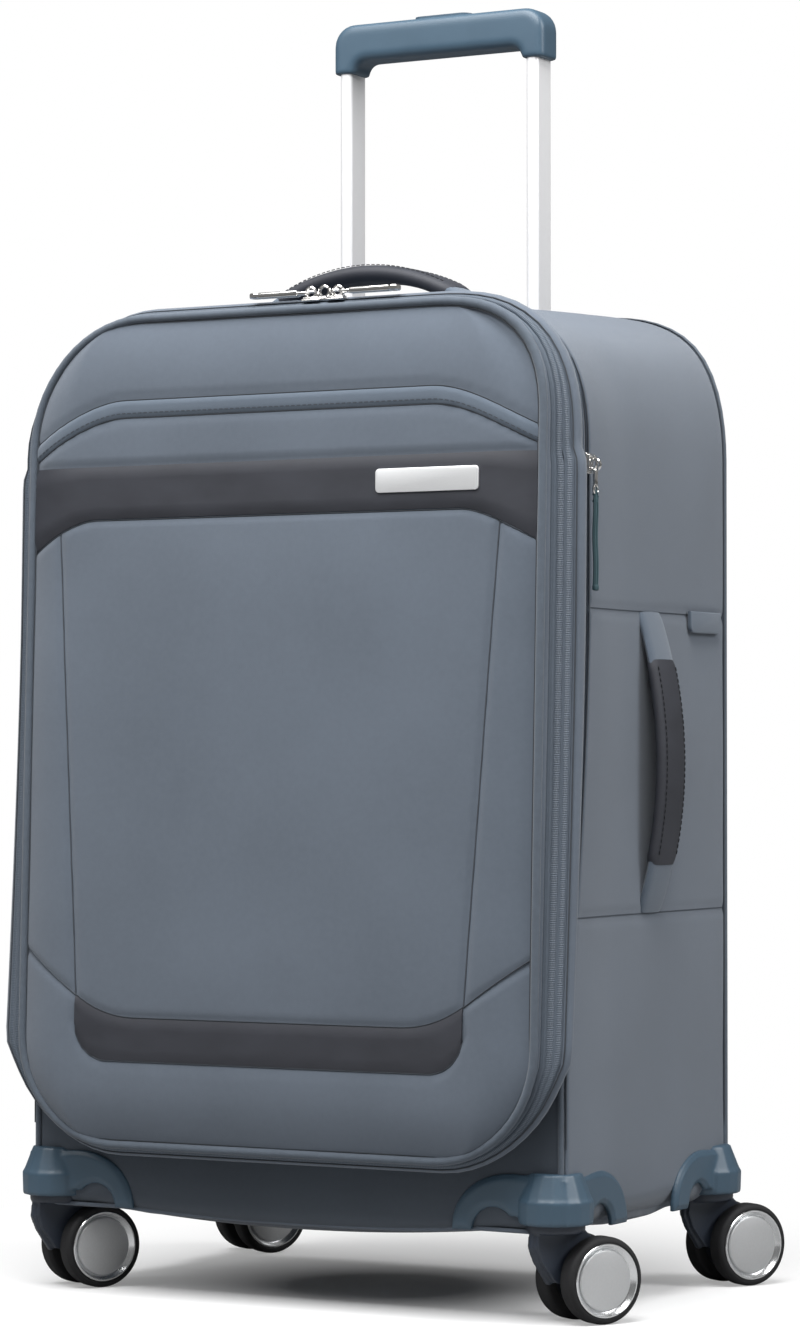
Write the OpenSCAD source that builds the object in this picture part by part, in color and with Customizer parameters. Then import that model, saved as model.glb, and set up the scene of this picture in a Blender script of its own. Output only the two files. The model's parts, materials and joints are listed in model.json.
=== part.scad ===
// Softside spinner suitcase with an expander, a hinged lid, a telescopic pull handle,
// two carry handles, zipper sliders and four twin-wheel casters.
// X runs to the suitcase's right side, Y to its back and Z up. The origin is on the
// floor, under the middle of the body. All sizes are in millimetres.

/* [Body] */
// Width of the soft body, side to side
body_w = 388; // [330:1:470]
// Depth of the body, from its back to the front of its lower edge
body_d = 236; // [225:1:285]
// Height of the body itself
body_h = 579; // [480:1:700]
// Radius of the body's upper corners
top_r = 90; // [70:1:92]
// Radius of the body's lower corners
bottom_r = 18; // [14:1:24]
// Thickness of the padded walls
wall = 4; // [3:0.5:5]
// Thickness of the back panel
back_t = 4; // [3:0.5:6]
// Thickness of the lining
lining_t = 1.2; // [0.8:0.1:2]
// Thickness of the base tray
tray_t = 5; // [4:0.5:6]
// Diameter of the piping along the body's edges
shell_piping_d = 4; // [3:0.5:5]

/* [Expander and lid] */
// Depth of the side panels, from the back to the expander's zipper
side_panel_d = 204; // [180:1:210]
// Width of the expander's zipper band
expander_zip_w = 21; // [16:1:26]
// Width of the strip between the two zippers
strip_w = 14; // [8:1:18]
// Width of the main zipper band
main_zip_w = 7; // [6:0.5:10]
// How far the expander lets the front out
expander_travel = 38; // [20:1:45]
// Thickness of the lid
lid_t = 8; // [6:0.5:10]
// Step from the body's side to the expander's side
expander_inset = 2; // [1:0.5:3]
// Step from the expander's side to the lid's side
lid_inset = 4; // [3:0.5:6]
// Height of the lid's lower edge above the body's underside
toe_h = 42; // [37:1:50]
// Radius of the lid's lower corners
lid_bottom_r = 72; // [60:1:90]
// Diameter of the piping around the lid
lid_piping_d = 5; // [4:0.5:6]
// Height of the upper trim band's top below the lid's top
upper_band_drop = 96; // [90:1:130]
// Height of the upper trim band
upper_band_h = 34; // [30:1:50]
// Height of the stitched pocket flap's top below the lid's top
flap_drop = 54; // [45:1:70]
// Height of the stitched pocket flap
flap_h = 40; // [34:1:40]
// Height of the lower trim band's foot above the lid's lower edge
lower_band_rise = 55; // [50:1:80]
// Height of the lower trim band
lower_band_h = 27; // [24:1:44]
// Thickness of the trim laid on the lid
trim_t = 2; // [1.5:0.5:3]
// Width of the blank name plate
plate_w = 73; // [60:1:90]
// Height of the blank name plate
plate_h = 15; // [12:1:20]

/* [Pull handle] */
// Distance between the centre lines of the two tubes
tube_spacing = 144; // [130:1:160]
// Width of an upper tube
tube_w = 9; // [8:0.5:11]
// Depth of an upper tube
tube_d = 22; // [18:0.5:24]
// Wall thickness of each tube
tube_wall = 1; // [0.8:0.1:1.4]
// Distance from the back of the body to the tubes' centre line
tube_setback = 32; // [28:1:34]
// Height of the grip's top above the body, as the handle stands
grip_rise = 216; // [180:1:240]
// Travel of the lower tubes
lower_travel = 190; // [120:1:210]
// Depth of the grip, front to back
grip_d = 26; // [24:1:28]
// Height of the grip's legs
grip_h = 34; // [32:1:38]
// Height of the grip's bar
grip_bar_h = 26; // [26:1:30]
// Length of the release button
button_l = 43; // [30:1:60]
// Travel of the release button
button_travel = 3; // [2:0.5:4]

/* [Carry handles] */
// Length of the top carry handle
top_handle_l = 174; // [130:1:175]
// Rise of the top carry handle
top_handle_rise = 32; // [18:1:36]
// Length of the side carry handle
side_handle_l = 190; // [150:1:210]
// Rise of the side carry handle
side_handle_rise = 20; // [18:1:28]
// Width of both carry handles
handle_w = 34; // [26:1:38]
// Thickness of both carry handles
handle_t = 6; // [5:0.5:8]

/* [Casters] */
// Diameter of a tyre
tyre_d = 54; // [48:1:64]
// Width of one tyre
tyre_w = 13.5; // [10:0.5:15]
// Thickness of the tyre's tread
tread_t = 4; // [3:0.5:5]
// Space between the two wheels of a caster
wheel_gap = 14; // [12:0.5:16]
// Distance from the swivel axis back to the axle
trail = 24; // [16:0.5:26]
// Diameter of an axle
axle_d = 6; // [5:0.5:7]
// Diameter of a kingpin
kingpin_d = 8; // [7:0.5:9]
// Distance from the body's side and end to a swivel axis
caster_inset = 10; // [9:0.5:12]
// Diameter of a corner housing's collar
collar_d = 42; // [40:1:46]
// Height of a corner housing
housing_h = 36; // [34:1:36]
// Length of a corner housing's wing across the front or back
wing_l = 78; // [62:1:85]
// Length of a corner housing's wing along the side
side_wing_l = 86; // [62:1:95]
// Angle at which all the casters stand
caster_angle = -29; // [-90:1:90]

/* [Fits] */
// Radial clearance of a running fit
running_gap = 0.05; // [0.02:0.01:0.1]
// Clearance between parts that slide past each other
slide_gap = 0.3; // [0.3:0.05:0.5]
// Clearance between soft parts that move past each other
soft_gap = 0.5; // [0.4:0.1:0.8]

/* [Hidden] */
$fn = 64;
LEFT = -1;
RIGHT = 1;
FRONT = -1;
REAR = 1;
EPS = 1;

// Heights
wheel_top_gap = 2;
z_bottom = tyre_d + wheel_top_gap;
z_top = z_bottom + body_h;
z_lid = z_bottom + toe_h;
z_axle = tyre_d / 2;

// Depths, from the back to the front
y_back = body_d / 2;
y_toe = -body_d / 2;
y_split = y_back - side_panel_d;
y_strip = y_split - expander_zip_w;
y_main = y_strip - strip_w;
y_lid = y_main - main_zip_w;
y_front = y_lid - lid_t;
y_main_zip = y_main - main_zip_w / 2;
y_expander_zip = y_split - 5;
expander_rear_w = 13;

// Front outlines: half width, bottom, top, upper corner radius, lower corner radius
BODY = [body_w / 2, z_bottom, z_top, top_r, bottom_r];
RING = [body_w / 2 - expander_inset, z_lid, z_top - expander_inset,
        top_r - expander_inset, lid_bottom_r + expander_inset];
lid_edge = 1;
LID = [RING[0] - lid_inset, z_lid + lid_edge, RING[2] - lid_edge,
       RING[3] - lid_inset, lid_bottom_r - expander_inset];
lining_gap = 0.8;
LINING = [BODY[0] - wall - lining_gap, z_bottom + wall + tray_t + slide_gap + 1,
          z_top - wall - lining_gap, top_r - wall - lining_gap, bottom_r - wall];
sleeve_t = 1.2;
SLEEVE = [LINING[0] - lining_t - lining_gap, z_lid + wall + lid_edge,
          LINING[2] - lining_t - lining_gap, LINING[3] - lining_t - lining_gap,
          lid_bottom_r - wall];
toe_corner_h = 94;

// Pull handle
y_tube = y_back - tube_setback;
middle_w = tube_w + 2 * (slide_gap + tube_wall);
middle_d = tube_d + 2 * (slide_gap + tube_wall);
outer_w = middle_w + 2 * (slide_gap + tube_wall);
outer_d = middle_d + 2 * (slide_gap + tube_wall);
tube_r = 3;
z_grip_top = z_top + grip_rise;
z_grip_leg = z_grip_top - grip_h;
z_grip_bar = z_grip_top - grip_bar_h;
grip_w = tube_spacing + tube_w + 9;
bezel_margin = 4;
bezel_floor = 6;
bezel_depth = grip_h + 5;
z_bezel_floor = z_top - bezel_depth;
z_collar = z_bezel_floor + slide_gap;
collar_t = 4;
tube_overlap = 60;
grip_socket = 11;
grip_cavity_z0 = z_grip_leg + grip_socket;
grip_roof = 4;
grip_cavity_z1 = z_grip_top - grip_roof;
grip_split = z_grip_leg + 20;
rod_d = 3;
bar_t = 3;
spring_h = button_travel + 4;
z_bar = grip_cavity_z0 + spring_h;
button_w = 14;
button_proud = 1.5;

// Carry handles
y_top_handle = -12;
y_side_handle = 5;
z_side_handle = z_top - 290;
anchor_l = 16;
anchor_t = 3;
handle_stand = 2;

// Zipper sliders
slider_l = 13;
slider_w = 8;
slider_t = 3;
ear_t = 1.2;
pin_d = 2.4;
eye_d = 5.4;
eye_w = 3.6;
pull_l = 46;
pull_w = 6;
pull_t = 2.2;
x_left_slider = 17;
x_right_slider = 35;
z_expander_slider = z_top - 105;
pull_hole_d = 4;
strand_d = 2.6;
strand_step = 2.2;
strand_l = 58;
link_l = 18;

// Casters
wheel_x0 = wheel_gap / 2;
wheel_x1 = wheel_x0 + tyre_w;
z_collar_base = z_bottom + 4;
fork_disc_d = 34;
fork_disc_t = 4;
fork_w = wheel_gap - 2;
fork_hub_d = 17;
bearing_d = 26;
bearing_t = 5;
kingpin_drop = 12;
hub_d = tyre_d - 2 * tread_t;
wing_t = 3.5;
wing_r = 28;
arch_r = 11;
screw_d = 3;

// Outline with two upper and two lower corner radii, drawn in width and height
module outline(box, inset = 0) {
    half = box[0] - inset;
    low = box[1] + inset;
    high = box[2] - inset;
    r_up = box[3] - inset;
    r_low = box[4] - inset;
    translate([-half, low + r_low]) square([2 * half, high - low - r_up - r_low]);
    translate([-(half - r_up), high - r_up]) square([2 * (half - r_up), r_up]);
    translate([-(half - r_low), low]) square([2 * (half - r_low), r_low]);
    for (side = [LEFT, RIGHT]) {
        translate([side * (half - r_up), high - r_up]) circle(r_up);
        translate([side * (half - r_low), low + r_low]) circle(r_low);
    }
}

// Front view drawing extruded between two depths
module between(y0, y1) {
    translate([0, y1, 0]) rotate([90, 0, 0]) linear_extrude(y1 - y0) children();
}

// Band between an outer and an inner outline, between two depths
module band(y0, y1, outer, outer_inset, inner, inner_inset) {
    difference() {
        between(y0, y1) outline(outer, outer_inset);
        between(y0 - EPS, y1 + EPS) outline(inner, inner_inset);
    }
}

// Box given by its lower and upper corners
module block(low, high) {
    translate(low) cube(high - low);
}

// Rectangle with rounded corners, centred
module rounded(w, d, r) {
    square([w - 2 * r, d], center = true);
    square([w, d - 2 * r], center = true);
    for (x = [-1, 1], y = [-1, 1]) translate([x * (w / 2 - r), y * (d / 2 - r)]) circle(r);
}

// A pair of things at the two tube places
module at_tubes() {
    for (side = [LEFT, RIGHT]) translate([side * tube_spacing / 2, y_tube, 0]) children();
}

module tube(w, d, z0, z1) {
    translate([0, 0, z0]) linear_extrude(z1 - z0) difference() {
        rounded(w, d, tube_r);
        rounded(w - 2 * tube_wall, d - 2 * tube_wall, tube_r - tube_wall);
    }
}

// Place of a caster's swivel axis
function caster_at(side, end) =
    [side * (body_w / 2 - caster_inset), end * (body_d / 2 - caster_inset), 0];

// ---- Body ----

// The room that the expander and the lid take out of the body's front
module front_room(grow) {
    outline(RING, -grow);
    translate([-body_w / 2 - EPS, z_bottom + toe_corner_h - grow])
        square([body_w + 2 * EPS, body_h]);
}

module body_shell() {
    color("slategray") difference() {
        between(y_toe, y_back - back_t) outline(BODY);
        between(y_split, y_back) outline(BODY, wall);
        between(y_toe + wall, y_split + EPS) difference() {
            outline(BODY, wall);
            front_room(soft_gap + wall);
        }
        between(y_toe - EPS, y_split) front_room(soft_gap);
        bezel_block(slide_gap);
        screws(screw_d, EPS, screw_d);
        for (side = [LEFT, RIGHT], end = [FRONT, REAR]) translate(caster_at(side, end))
            translate([0, 0, z_bottom - EPS])
                cylinder(d = collar_d + 2 * slide_gap, h = housing_h + EPS + slide_gap);
    }
}

module back_panel() {
    color("slategray") difference() {
        between(y_back - back_t, y_back) outline(BODY);
        screws(screw_d, EPS, screw_d);
        for (side = [LEFT, RIGHT]) translate(caster_at(side, REAR))
            translate([0, 0, z_bottom - EPS])
                cylinder(d = collar_d + 2 * slide_gap, h = housing_h + EPS + slide_gap);
    }
}

// Piping behind the back panel's edge and down the two front corners
module shell_piping() {
    color("slategray") {
        difference() {
            band(y_back, y_back + shell_piping_d / 2, BODY, 0, BODY, shell_piping_d);
            block([-body_w, y_back - EPS, 0], [body_w, y_back + wall + EPS, z_bottom + housing_h + EPS]);
        }
        for (side = [LEFT, RIGHT])
            translate([side * (body_w / 2 - shell_piping_d / 2), y_toe - shell_piping_d / 2,
                       z_bottom + housing_h + slide_gap])
                cylinder(d = shell_piping_d, h = toe_corner_h - housing_h - 1);
    }
}

module lining() {
    y_lining = y_tube - outer_d / 2 - bezel_margin - 6;
    color("dimgray") difference() {
        between(y_split + slide_gap, y_lining) outline(LINING);
        between(y_split, y_lining - lining_t) outline(LINING, lining_t);
    }
}

module base_tray() {
    tray_w = body_w - 2 * (wall + bottom_r);
    low = [-tray_w / 2, y_split, z_bottom + wall];
    high = [tray_w / 2, y_back - collar_d / 2 - caster_inset - 2, low[2] + tray_t];
    rim = 3;
    color("dimgray") difference() {
        block(low, high);
        block(low + [rim, rim, rim], [high[0] - rim, y_tube - outer_d / 2 - rim - 7, high[2] + EPS]);
    }
}

// ---- Casters ----

// Wing of a corner housing, drawn along one face from the corner
module wing(length) {
    low = z_bottom;
    lobe = length - wing_r;
    difference() {
        union() {
            translate([0, low]) square([lobe, housing_h]);
            translate([lobe, low]) square([wing_r, housing_h - wing_r]);
            translate([lobe, low + housing_h - wing_r]) circle(wing_r);
        }
        translate([-length, low - 2 * wing_r]) square([3 * length, 2 * wing_r]);
        translate([lobe - 1, low]) circle(arch_r);
    }
}

module corner_housing(side, end) {
    collar_r = collar_d / 2;
    cone_h = 12;
    cone_r = collar_r - 4;
    color("#526a7c") difference() {
        union() {
            translate(caster_at(side, end)) {
                translate([0, 0, z_collar_base])
                    cylinder(r = collar_r, h = housing_h - 4 - cone_h);
                translate([0, 0, z_bottom + housing_h - cone_h])
                    cylinder(r1 = collar_r, r2 = cone_r, h = cone_h);
            }
            scale([side, end, 1]) translate([body_w / 2 + wing_t, body_d / 2 + wing_t, 0]) {
                rotate([90, 0, 180]) linear_extrude(wing_t) wing(wing_l);
                translate([-wing_t, 0, 0]) rotate([90, 0, -90]) mirror([0, 0, 1])
                    linear_extrude(wing_t) wing(side_wing_l);
            }
        }
        screws(screw_d, EPS, screw_d);
        translate(caster_at(side, end)) {
            translate([0, 0, z_collar_base - EPS])
                cylinder(d = bearing_d, h = bearing_t + EPS);
            translate([0, 0, z_bottom - EPS])
                cylinder(d = kingpin_d, h = housing_h - 6 + EPS);
            translate([0, 0, z_bottom - EPS])
                cylinder(r = collar_r - 2, h = 4 + EPS);
        }
    }
}

module caster_kingpins() {
    z0 = z_collar_base - kingpin_drop;
    color("silver") for (side = [LEFT, RIGHT], end = [FRONT, REAR])
        translate(caster_at(side, end)) translate([0, 0, z0])
            cylinder(d = kingpin_d, h = z_bottom + housing_h - 6 - z0);
}

module caster_bearings() {
    color("gray") for (side = [LEFT, RIGHT], end = [FRONT, REAR])
        translate(caster_at(side, end)) translate([0, 0, z_collar_base]) difference() {
            cylinder(d = bearing_d, h = bearing_t);
            translate([0, 0, -EPS]) cylinder(d = kingpin_d, h = bearing_t + 2 * EPS);
        }
}

// Screws from inside the body's walls into each housing's front or rear wing
module screws(size, head_t, head_d) {
    depth = wall + 2;
    for (side = [LEFT, RIGHT], end = [FRONT, REAR], along = [34, 54])
        translate([side * (body_w / 2 - along), end * (body_d / 2 - wall), z_bottom + 20])
            rotate([-end * 90, 0, 0]) {
                cylinder(d = size, h = depth);
                translate([0, 0, -head_t]) cylinder(d = head_d, h = head_t);
            }
}

module housing_screws() {
    color("silver") screws(screw_d, 1.2, 2 * screw_d);
}

// Caster frame: X along the axle, Y back along the trail
module caster_frame(side, end) {
    translate(caster_at(side, end)) rotate([0, 0, caster_angle]) children();
}

module fork(side, end) {
    disc_top = z_collar_base - slide_gap;
    disc_r = fork_disc_d / 2;
    arm_top = z_bottom - 1.5;
    color("#2d323e") caster_frame(side, end) difference() {
        union() {
            translate([0, 0, disc_top - fork_disc_t]) cylinder(r = disc_r, h = fork_disc_t);
            rotate([90, 0, 90]) translate([0, 0, -fork_w / 2]) linear_extrude(fork_w) {
                polygon([[-disc_r + 4, disc_top - 1], [-kingpin_d / 2 - 3, z_axle + 14],
                         [trail - fork_hub_d / 2 + 2, z_axle - 4], [trail + fork_hub_d / 2 - 1, z_axle - 2],
                         [trail + fork_hub_d / 2, arm_top - 1], [disc_r, arm_top],
                         [disc_r - 4, disc_top - 1]]);
                translate([trail, z_axle]) circle(d = fork_hub_d);
            }
        }
        translate([0, 0, z_collar_base - kingpin_drop - slide_gap])
            cylinder(d = kingpin_d + 2 * running_gap, h = kingpin_drop + EPS);
        translate([-fork_w, trail, z_axle]) rotate([0, 90, 0])
            cylinder(d = axle_d + 2 * running_gap, h = 2 * fork_w);
    }
}

module at_wheels(side, end) {
    caster_frame(side, end) translate([0, trail, z_axle]) rotate([0, 90, 0]) children();
}

module tyres(side, end) {
    edge = 2.5;
    color("#151515") at_wheels(side, end) for (turn = [0, 180]) rotate([turn, 0, 0])
        rotate_extrude() difference() {
            translate([hub_d / 2, wheel_x0]) square([tread_t, tyre_w]);
            for (z = [wheel_x0, wheel_x1]) translate([tyre_d / 2, z]) rotate(45)
                square([edge, edge], center = true);
        }
}

// Two hubs with bright caps, pressed on one axle
module hubs(side, end) {
    web_t = 4;
    cap_t = 1.6;
    boss_d = axle_d + 6;
    color("silver") at_wheels(side, end) {
        cylinder(d = axle_d, h = 2 * wheel_x1 - 2 * cap_t, center = true);
        for (turn = [0, 180]) rotate([turn, 0, 0]) rotate_extrude() {
            translate([hub_d / 2 - 3, wheel_x0]) square([3, tyre_w]);
            translate([axle_d / 2, wheel_x1 - web_t - cap_t]) square([hub_d / 2 - 3 - axle_d / 2, web_t]);
            translate([axle_d / 2, wheel_x0]) square([boss_d / 2 - axle_d / 2, tyre_w - cap_t]);
            translate([0, wheel_x1 - cap_t]) square([hub_d / 2 - 3, cap_t - 0.6]);
        }
    }
}

// ---- Pull handle ----

module bezel_block(gap) {
    w = grip_w + 2 * (bezel_margin + 3) + 2 * gap;
    d = grip_d + 2 * (bezel_margin + 3) + 2 * gap;
    translate([0, y_tube, z_bezel_floor - bezel_floor - gap])
        linear_extrude(bezel_depth + bezel_floor + 2 + 2 * gap) rounded(w, d, 8 + gap);
}

module trolley_bezel() {
    w = grip_w + 2 * (bezel_margin + 3);
    d = grip_d + 2 * (bezel_margin + 3);
    lip = 4;
    color("#3c4450") difference() {
        union() {
            bezel_block(0);
            translate([0, y_tube, z_top + slide_gap]) linear_extrude(2) rounded(w + 2 * lip, d + 2, 9);
        }
        translate([0, y_tube, z_bezel_floor]) linear_extrude(bezel_depth + 4)
            rounded(grip_w + 2 * bezel_margin, grip_d + 2 * bezel_margin, 6);
        at_tubes() translate([0, 0, z_bezel_floor - bezel_floor - EPS])
            linear_extrude(bezel_floor + 2 * EPS)
                rounded(middle_w + 2 * slide_gap, middle_d + 2 * slide_gap, tube_r);
    }
}

module outer_tubes() {
    color("gray") at_tubes()
        tube(outer_w, outer_d, z_bottom + wall + tray_t + 4, z_bezel_floor - bezel_floor);
}

module trolley_foot() {
    foot_h = 16;
    foot_t = 4;
    z0 = z_bottom + wall + tray_t;
    color("dimgray") difference() {
        translate([0, y_tube, z0])
            linear_extrude(foot_h) rounded(tube_spacing + outer_w + 16, outer_d + 6, 5);
        at_tubes() translate([0, 0, z0 + foot_t]) linear_extrude(foot_h) rounded(outer_w, outer_d, tube_r);
    }
}

module middle_tubes() {
    color("gainsboro") at_tubes() {
        tube(middle_w, middle_d, z_collar - lower_travel - 2 * tube_overlap, z_collar);
        translate([0, 0, z_collar]) linear_extrude(collar_t) difference() {
            rounded(middle_w + 3, middle_d + 3, tube_r);
            rounded(tube_w + 2 * slide_gap, tube_d + 2 * slide_gap, tube_r - 1);
        }
    }
}

module upper_tubes() {
    color("gainsboro") at_tubes()
        tube(tube_w, tube_d, z_collar - tube_overlap, z_grip_leg + grip_socket);
}

// Front view of the grip: a bar with two short legs
module grip_outline() {
    bar_r = 15;
    inner_r = 7;
    leg_w = tube_w + 8;
    half = grip_w / 2;
    difference() {
        union() {
            translate([-half, z_grip_leg]) square([grip_w, grip_h - bar_r]);
            translate([-(half - bar_r), z_grip_leg]) square([grip_w - 2 * bar_r, grip_h]);
            for (side = [LEFT, RIGHT])
                translate([side * (half - bar_r), z_grip_top - bar_r]) circle(bar_r);
        }
        translate([-(half - leg_w), z_grip_leg - EPS])
            square([grip_w - 2 * leg_w, z_grip_bar - z_grip_leg - inner_r + EPS]);
        translate([-(half - leg_w - inner_r), z_grip_leg])
            square([grip_w - 2 * leg_w - 2 * inner_r, z_grip_bar - z_grip_leg]);
        for (side = [LEFT, RIGHT])
            translate([side * (half - leg_w - inner_r), z_grip_bar - inner_r]) circle(inner_r);
    }
}

module grip_body(z0, z1) {
    intersection() {
        between(y_tube - grip_d / 2, y_tube + grip_d / 2) grip_outline();
        block([-grip_w, y_tube - grip_d, z0], [grip_w, y_tube + grip_d, z1]);
    }
}

// Room inside the grip for the button and the release bar
module grip_room() {
    translate([0, y_tube, grip_cavity_z0])
        linear_extrude(grip_cavity_z1 - grip_cavity_z0)
            square([tube_spacing + rod_d + 3, button_w + 6], center = true);
}

module grip_upper_shell() {
    color("#586e84") difference() {
        grip_body(grip_split, z_grip_top);
        grip_room();
        translate([0, y_tube, grip_split]) linear_extrude(grip_h)
            rounded(button_l + 2 * slide_gap, button_w + 2 * slide_gap, button_w / 2);
    }
}

module grip_lower_shell() {
    color("#586e84") difference() {
        grip_body(z_grip_leg, grip_split);
        grip_room();
        at_tubes() translate([0, 0, z_grip_leg - EPS])
            linear_extrude(grip_socket + EPS) rounded(tube_w, tube_d, tube_r);
    }
}

module release_button() {
    flange_z = z_bar + bar_t;
    color("#465a6e") {
        translate([0, y_tube, flange_z]) linear_extrude(z_grip_top + button_proud - flange_z)
            rounded(button_l, button_w, button_w / 2 - slide_gap);
    }
}

// Bar across the grip with a rod down each tube, to the locks at the tubes' feet
module release_rods() {
    rod_end = z_collar - tube_overlap + 8;
    color("silver") {
        translate([-(tube_spacing + rod_d) / 2, y_tube - rod_d / 2, z_bar])
            cube([tube_spacing + rod_d, rod_d, bar_t]);
        at_tubes() translate([0, 0, rod_end]) cylinder(d = rod_d, h = z_bar - rod_end);
    }
}

module button_spring() {
    color("silver") translate([0, y_tube, grip_cavity_z0]) difference() {
        cylinder(d = 8, h = spring_h);
        translate([0, 0, -EPS]) cylinder(d = 6, h = spring_h + 2 * EPS);
    }
}

// ---- Carry handles ----

// Arched handle over a flat place, its length along X and its width along Y
module arch_handle(length, rise) {
    half = length / 2;
    arc_r = (half * half + rise * rise) / (2 * rise);
    intersection() {
        translate([0, handle_w / 2, rise - arc_r]) rotate([90, 0, 0]) difference() {
            cylinder(r = arc_r, h = handle_w, $fn = 128);
            translate([0, 0, -EPS]) cylinder(r = arc_r - handle_t, h = handle_w + 2 * EPS, $fn = 128);
        }
        translate([-half, -handle_w, 0]) cube([length, 2 * handle_w, rise + EPS]);
    }
}

module on_top() {
    translate([0, y_top_handle, z_top]) children();
}

module on_side() {
    translate([body_w / 2, y_side_handle, z_side_handle]) rotate([0, 90, 0]) children();
}

module top_handle() {
    color("#4b505c") on_top() translate([0, 0, handle_stand]) arch_handle(top_handle_l, top_handle_rise);
}

module side_handle() {
    color("#4b505c") on_side() translate([0, 0, handle_stand]) arch_handle(side_handle_l, side_handle_rise);
}

// Pads that hold the ends of both handles
module anchor_pair(length) {
    for (end = [-1, 1]) translate([end * (length / 2 + soft_gap + anchor_l / 2), 0, 0])
        linear_extrude(anchor_t) rounded(anchor_l, handle_w + 4, 5);
}

module handle_anchors() {
    color("#5a6472") {
        on_top() anchor_pair(top_handle_l);
        on_side() anchor_pair(side_handle_l);
    }
}

// Small loop of fabric under the upper side seam
module side_tab() {
    tab_w = 46;
    tab_h = 14;
    color("#5a6472") translate([body_w / 2, y_back - 36, z_top - 199])
        rotate([90, 0, 90]) linear_extrude(2) rounded(tab_w, tab_h, 5);
}

// ---- Inside ----

y_straps = y_tube - outer_d / 2 - bezel_margin - 6 - lining_t;
strap_w = 25;
strap_t = 1.5;

module packing_straps() {
    tall = body_h - 180;
    color("black") for (x = [-60, 60])
        translate([x - strap_w / 2, y_straps - strap_t, z_bottom + 90]) cube([strap_w, strap_t, tall]);
}

module strap_buckle() {
    buckle = [70, 5, 34];
    color("black") translate([-60, y_straps - strap_t - buckle[1], z_bottom + body_h / 2])
        difference() {
            translate([-buckle[0] / 4, 0, 0]) cube([buckle[0] / 2, buckle[1], buckle[2]]);
            translate([-4, -EPS, buckle[2] / 2 - 4]) cube([8, buckle[1] + 2 * EPS, 8]);
        }
}

// ---- Expander ----

module expander_zip_rear() {
    color("#56646f") band(y_split - expander_rear_w, y_split, RING, 0, SLEEVE, -soft_gap);
}

module expander_strip() {
    color("slategray") band(y_main, y_strip, RING, 0, SLEEVE, 0);
}

module expander_zip_tapes() {
    half = main_zip_w / 2;
    color("#56646f") {
        band(y_strip, y_split - expander_rear_w - slide_gap, RING, 0, SLEEVE, 0);
        band(y_main - half + slide_gap / 2, y_main, RING, 0, SLEEVE, 0);
    }
}

module expander_sleeve() {
    overlap = 12;
    color("#3c434c") band(y_main, y_split + expander_travel + overlap, SLEEVE, 0, SLEEVE, sleeve_t);
}

// ---- Lid ----

module lid_gusset() {
    rim = 5;
    color("slategray") band(y_front, y_lid, LID, 0, LID, rim);
}

module lid_zip_tape() {
    color("#56646f") band(y_lid, y_main_zip - slide_gap / 2, LID, 0, SLEEVE, 0);
}

module lid_piping() {
    color("#556473") band(y_front - 1, y_front + lid_piping_d - 1, LID, -lid_piping_d / 2, LID, 0);
}

module lid_panel() {
    rim = 5;
    color("slategray") between(y_front, y_front + 4) outline(LID, rim);
}

// Part of the lid's face between two heights
module lid_trim(z0, z1, inset, y_face, thick) {
    intersection() {
        between(y_face - thick, y_face) outline(LID, inset);
        block([-body_w, y_face - 2 * thick, z0], [body_w, y_face + EPS, z1]);
    }
}

z_upper_band = LID[2] - upper_band_drop;
z_flap = LID[2] - flap_drop;
z_lower_band = LID[1] + lower_band_rise;

module pocket_flap() {
    color("slategray") lid_trim(z_flap - flap_h, z_flap, 6, y_front, trim_t);
}

module upper_band() {
    color("#4b505c") lid_trim(z_upper_band - upper_band_h, z_upper_band, 6, y_front, trim_t);
}

// Lower part of a pocket, drawn from its foot upwards
module trough(half, height, corner_r) {
    translate([-half, corner_r]) square([2 * half, height - corner_r]);
    translate([-(half - corner_r), 0]) square([2 * (half - corner_r), corner_r]);
    for (side = [LEFT, RIGHT]) intersection() {
        translate([side * (half - corner_r), corner_r]) circle(corner_r);
        translate([-half, 0]) square([2 * half, corner_r]);
    }
}

// Band across the foot of the front pocket, turned up at both ends
module lower_band() {
    half = 142;
    end_rise = 13;
    corner_r = 24;
    color("#46494f") between(y_front - trim_t, y_front) translate([0, z_lower_band]) difference() {
        trough(half, lower_band_h + end_rise, corner_r);
        translate([0, lower_band_h]) trough(half - 2, lower_band_h, end_rise);
    }
}

module name_plate() {
    plate_t = 1.6;
    x_plate = 112;
    color("silver") translate([x_plate, y_front - trim_t, z_upper_band - upper_band_h / 2 + 1])
        rotate([90, 0, 0]) linear_extrude(plate_t) rounded(plate_w, plate_h, 3);
}

module lid_pocket() {
    pocket_inset = 24;
    pocket_t = 1.6;
    color("#3c434c") difference() {
        between(y_front + 4, y_front + 4 + pocket_t) outline(LID, pocket_inset);
        translate([0, 0, LID[2] - 90]) rotate([90, 0, 0])
            linear_extrude(2 * body_d, center = true) rounded(240, 3, 1);
    }
}

// ---- Zipper sliders ----

// Slider lying on a flat band; its length runs along X and its pin along Y
module slider() {
    ear_y = eye_w / 2 + slide_gap;
    pin_z = slider_pin_z();
    linear_extrude(slider_t) rounded(slider_l, slider_w, 2);
    for (side = [-1, 1]) translate([0, side * (ear_y + ear_t / 2), 0]) {
        translate([-2, -ear_t / 2, slider_t - 0.5]) cube([4, ear_t, pin_z - slider_t + 0.5]);
        translate([0, ear_t / 2, pin_z]) rotate([90, 0, 0]) cylinder(d = 4, h = ear_t);
    }
    translate([0, ear_y + ear_t, pin_z]) rotate([90, 0, 0]) cylinder(d = pin_d, h = 2 * (ear_y + ear_t));
}

function slider_pin_z() = slider_t + eye_d / 2 + slide_gap;

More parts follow.
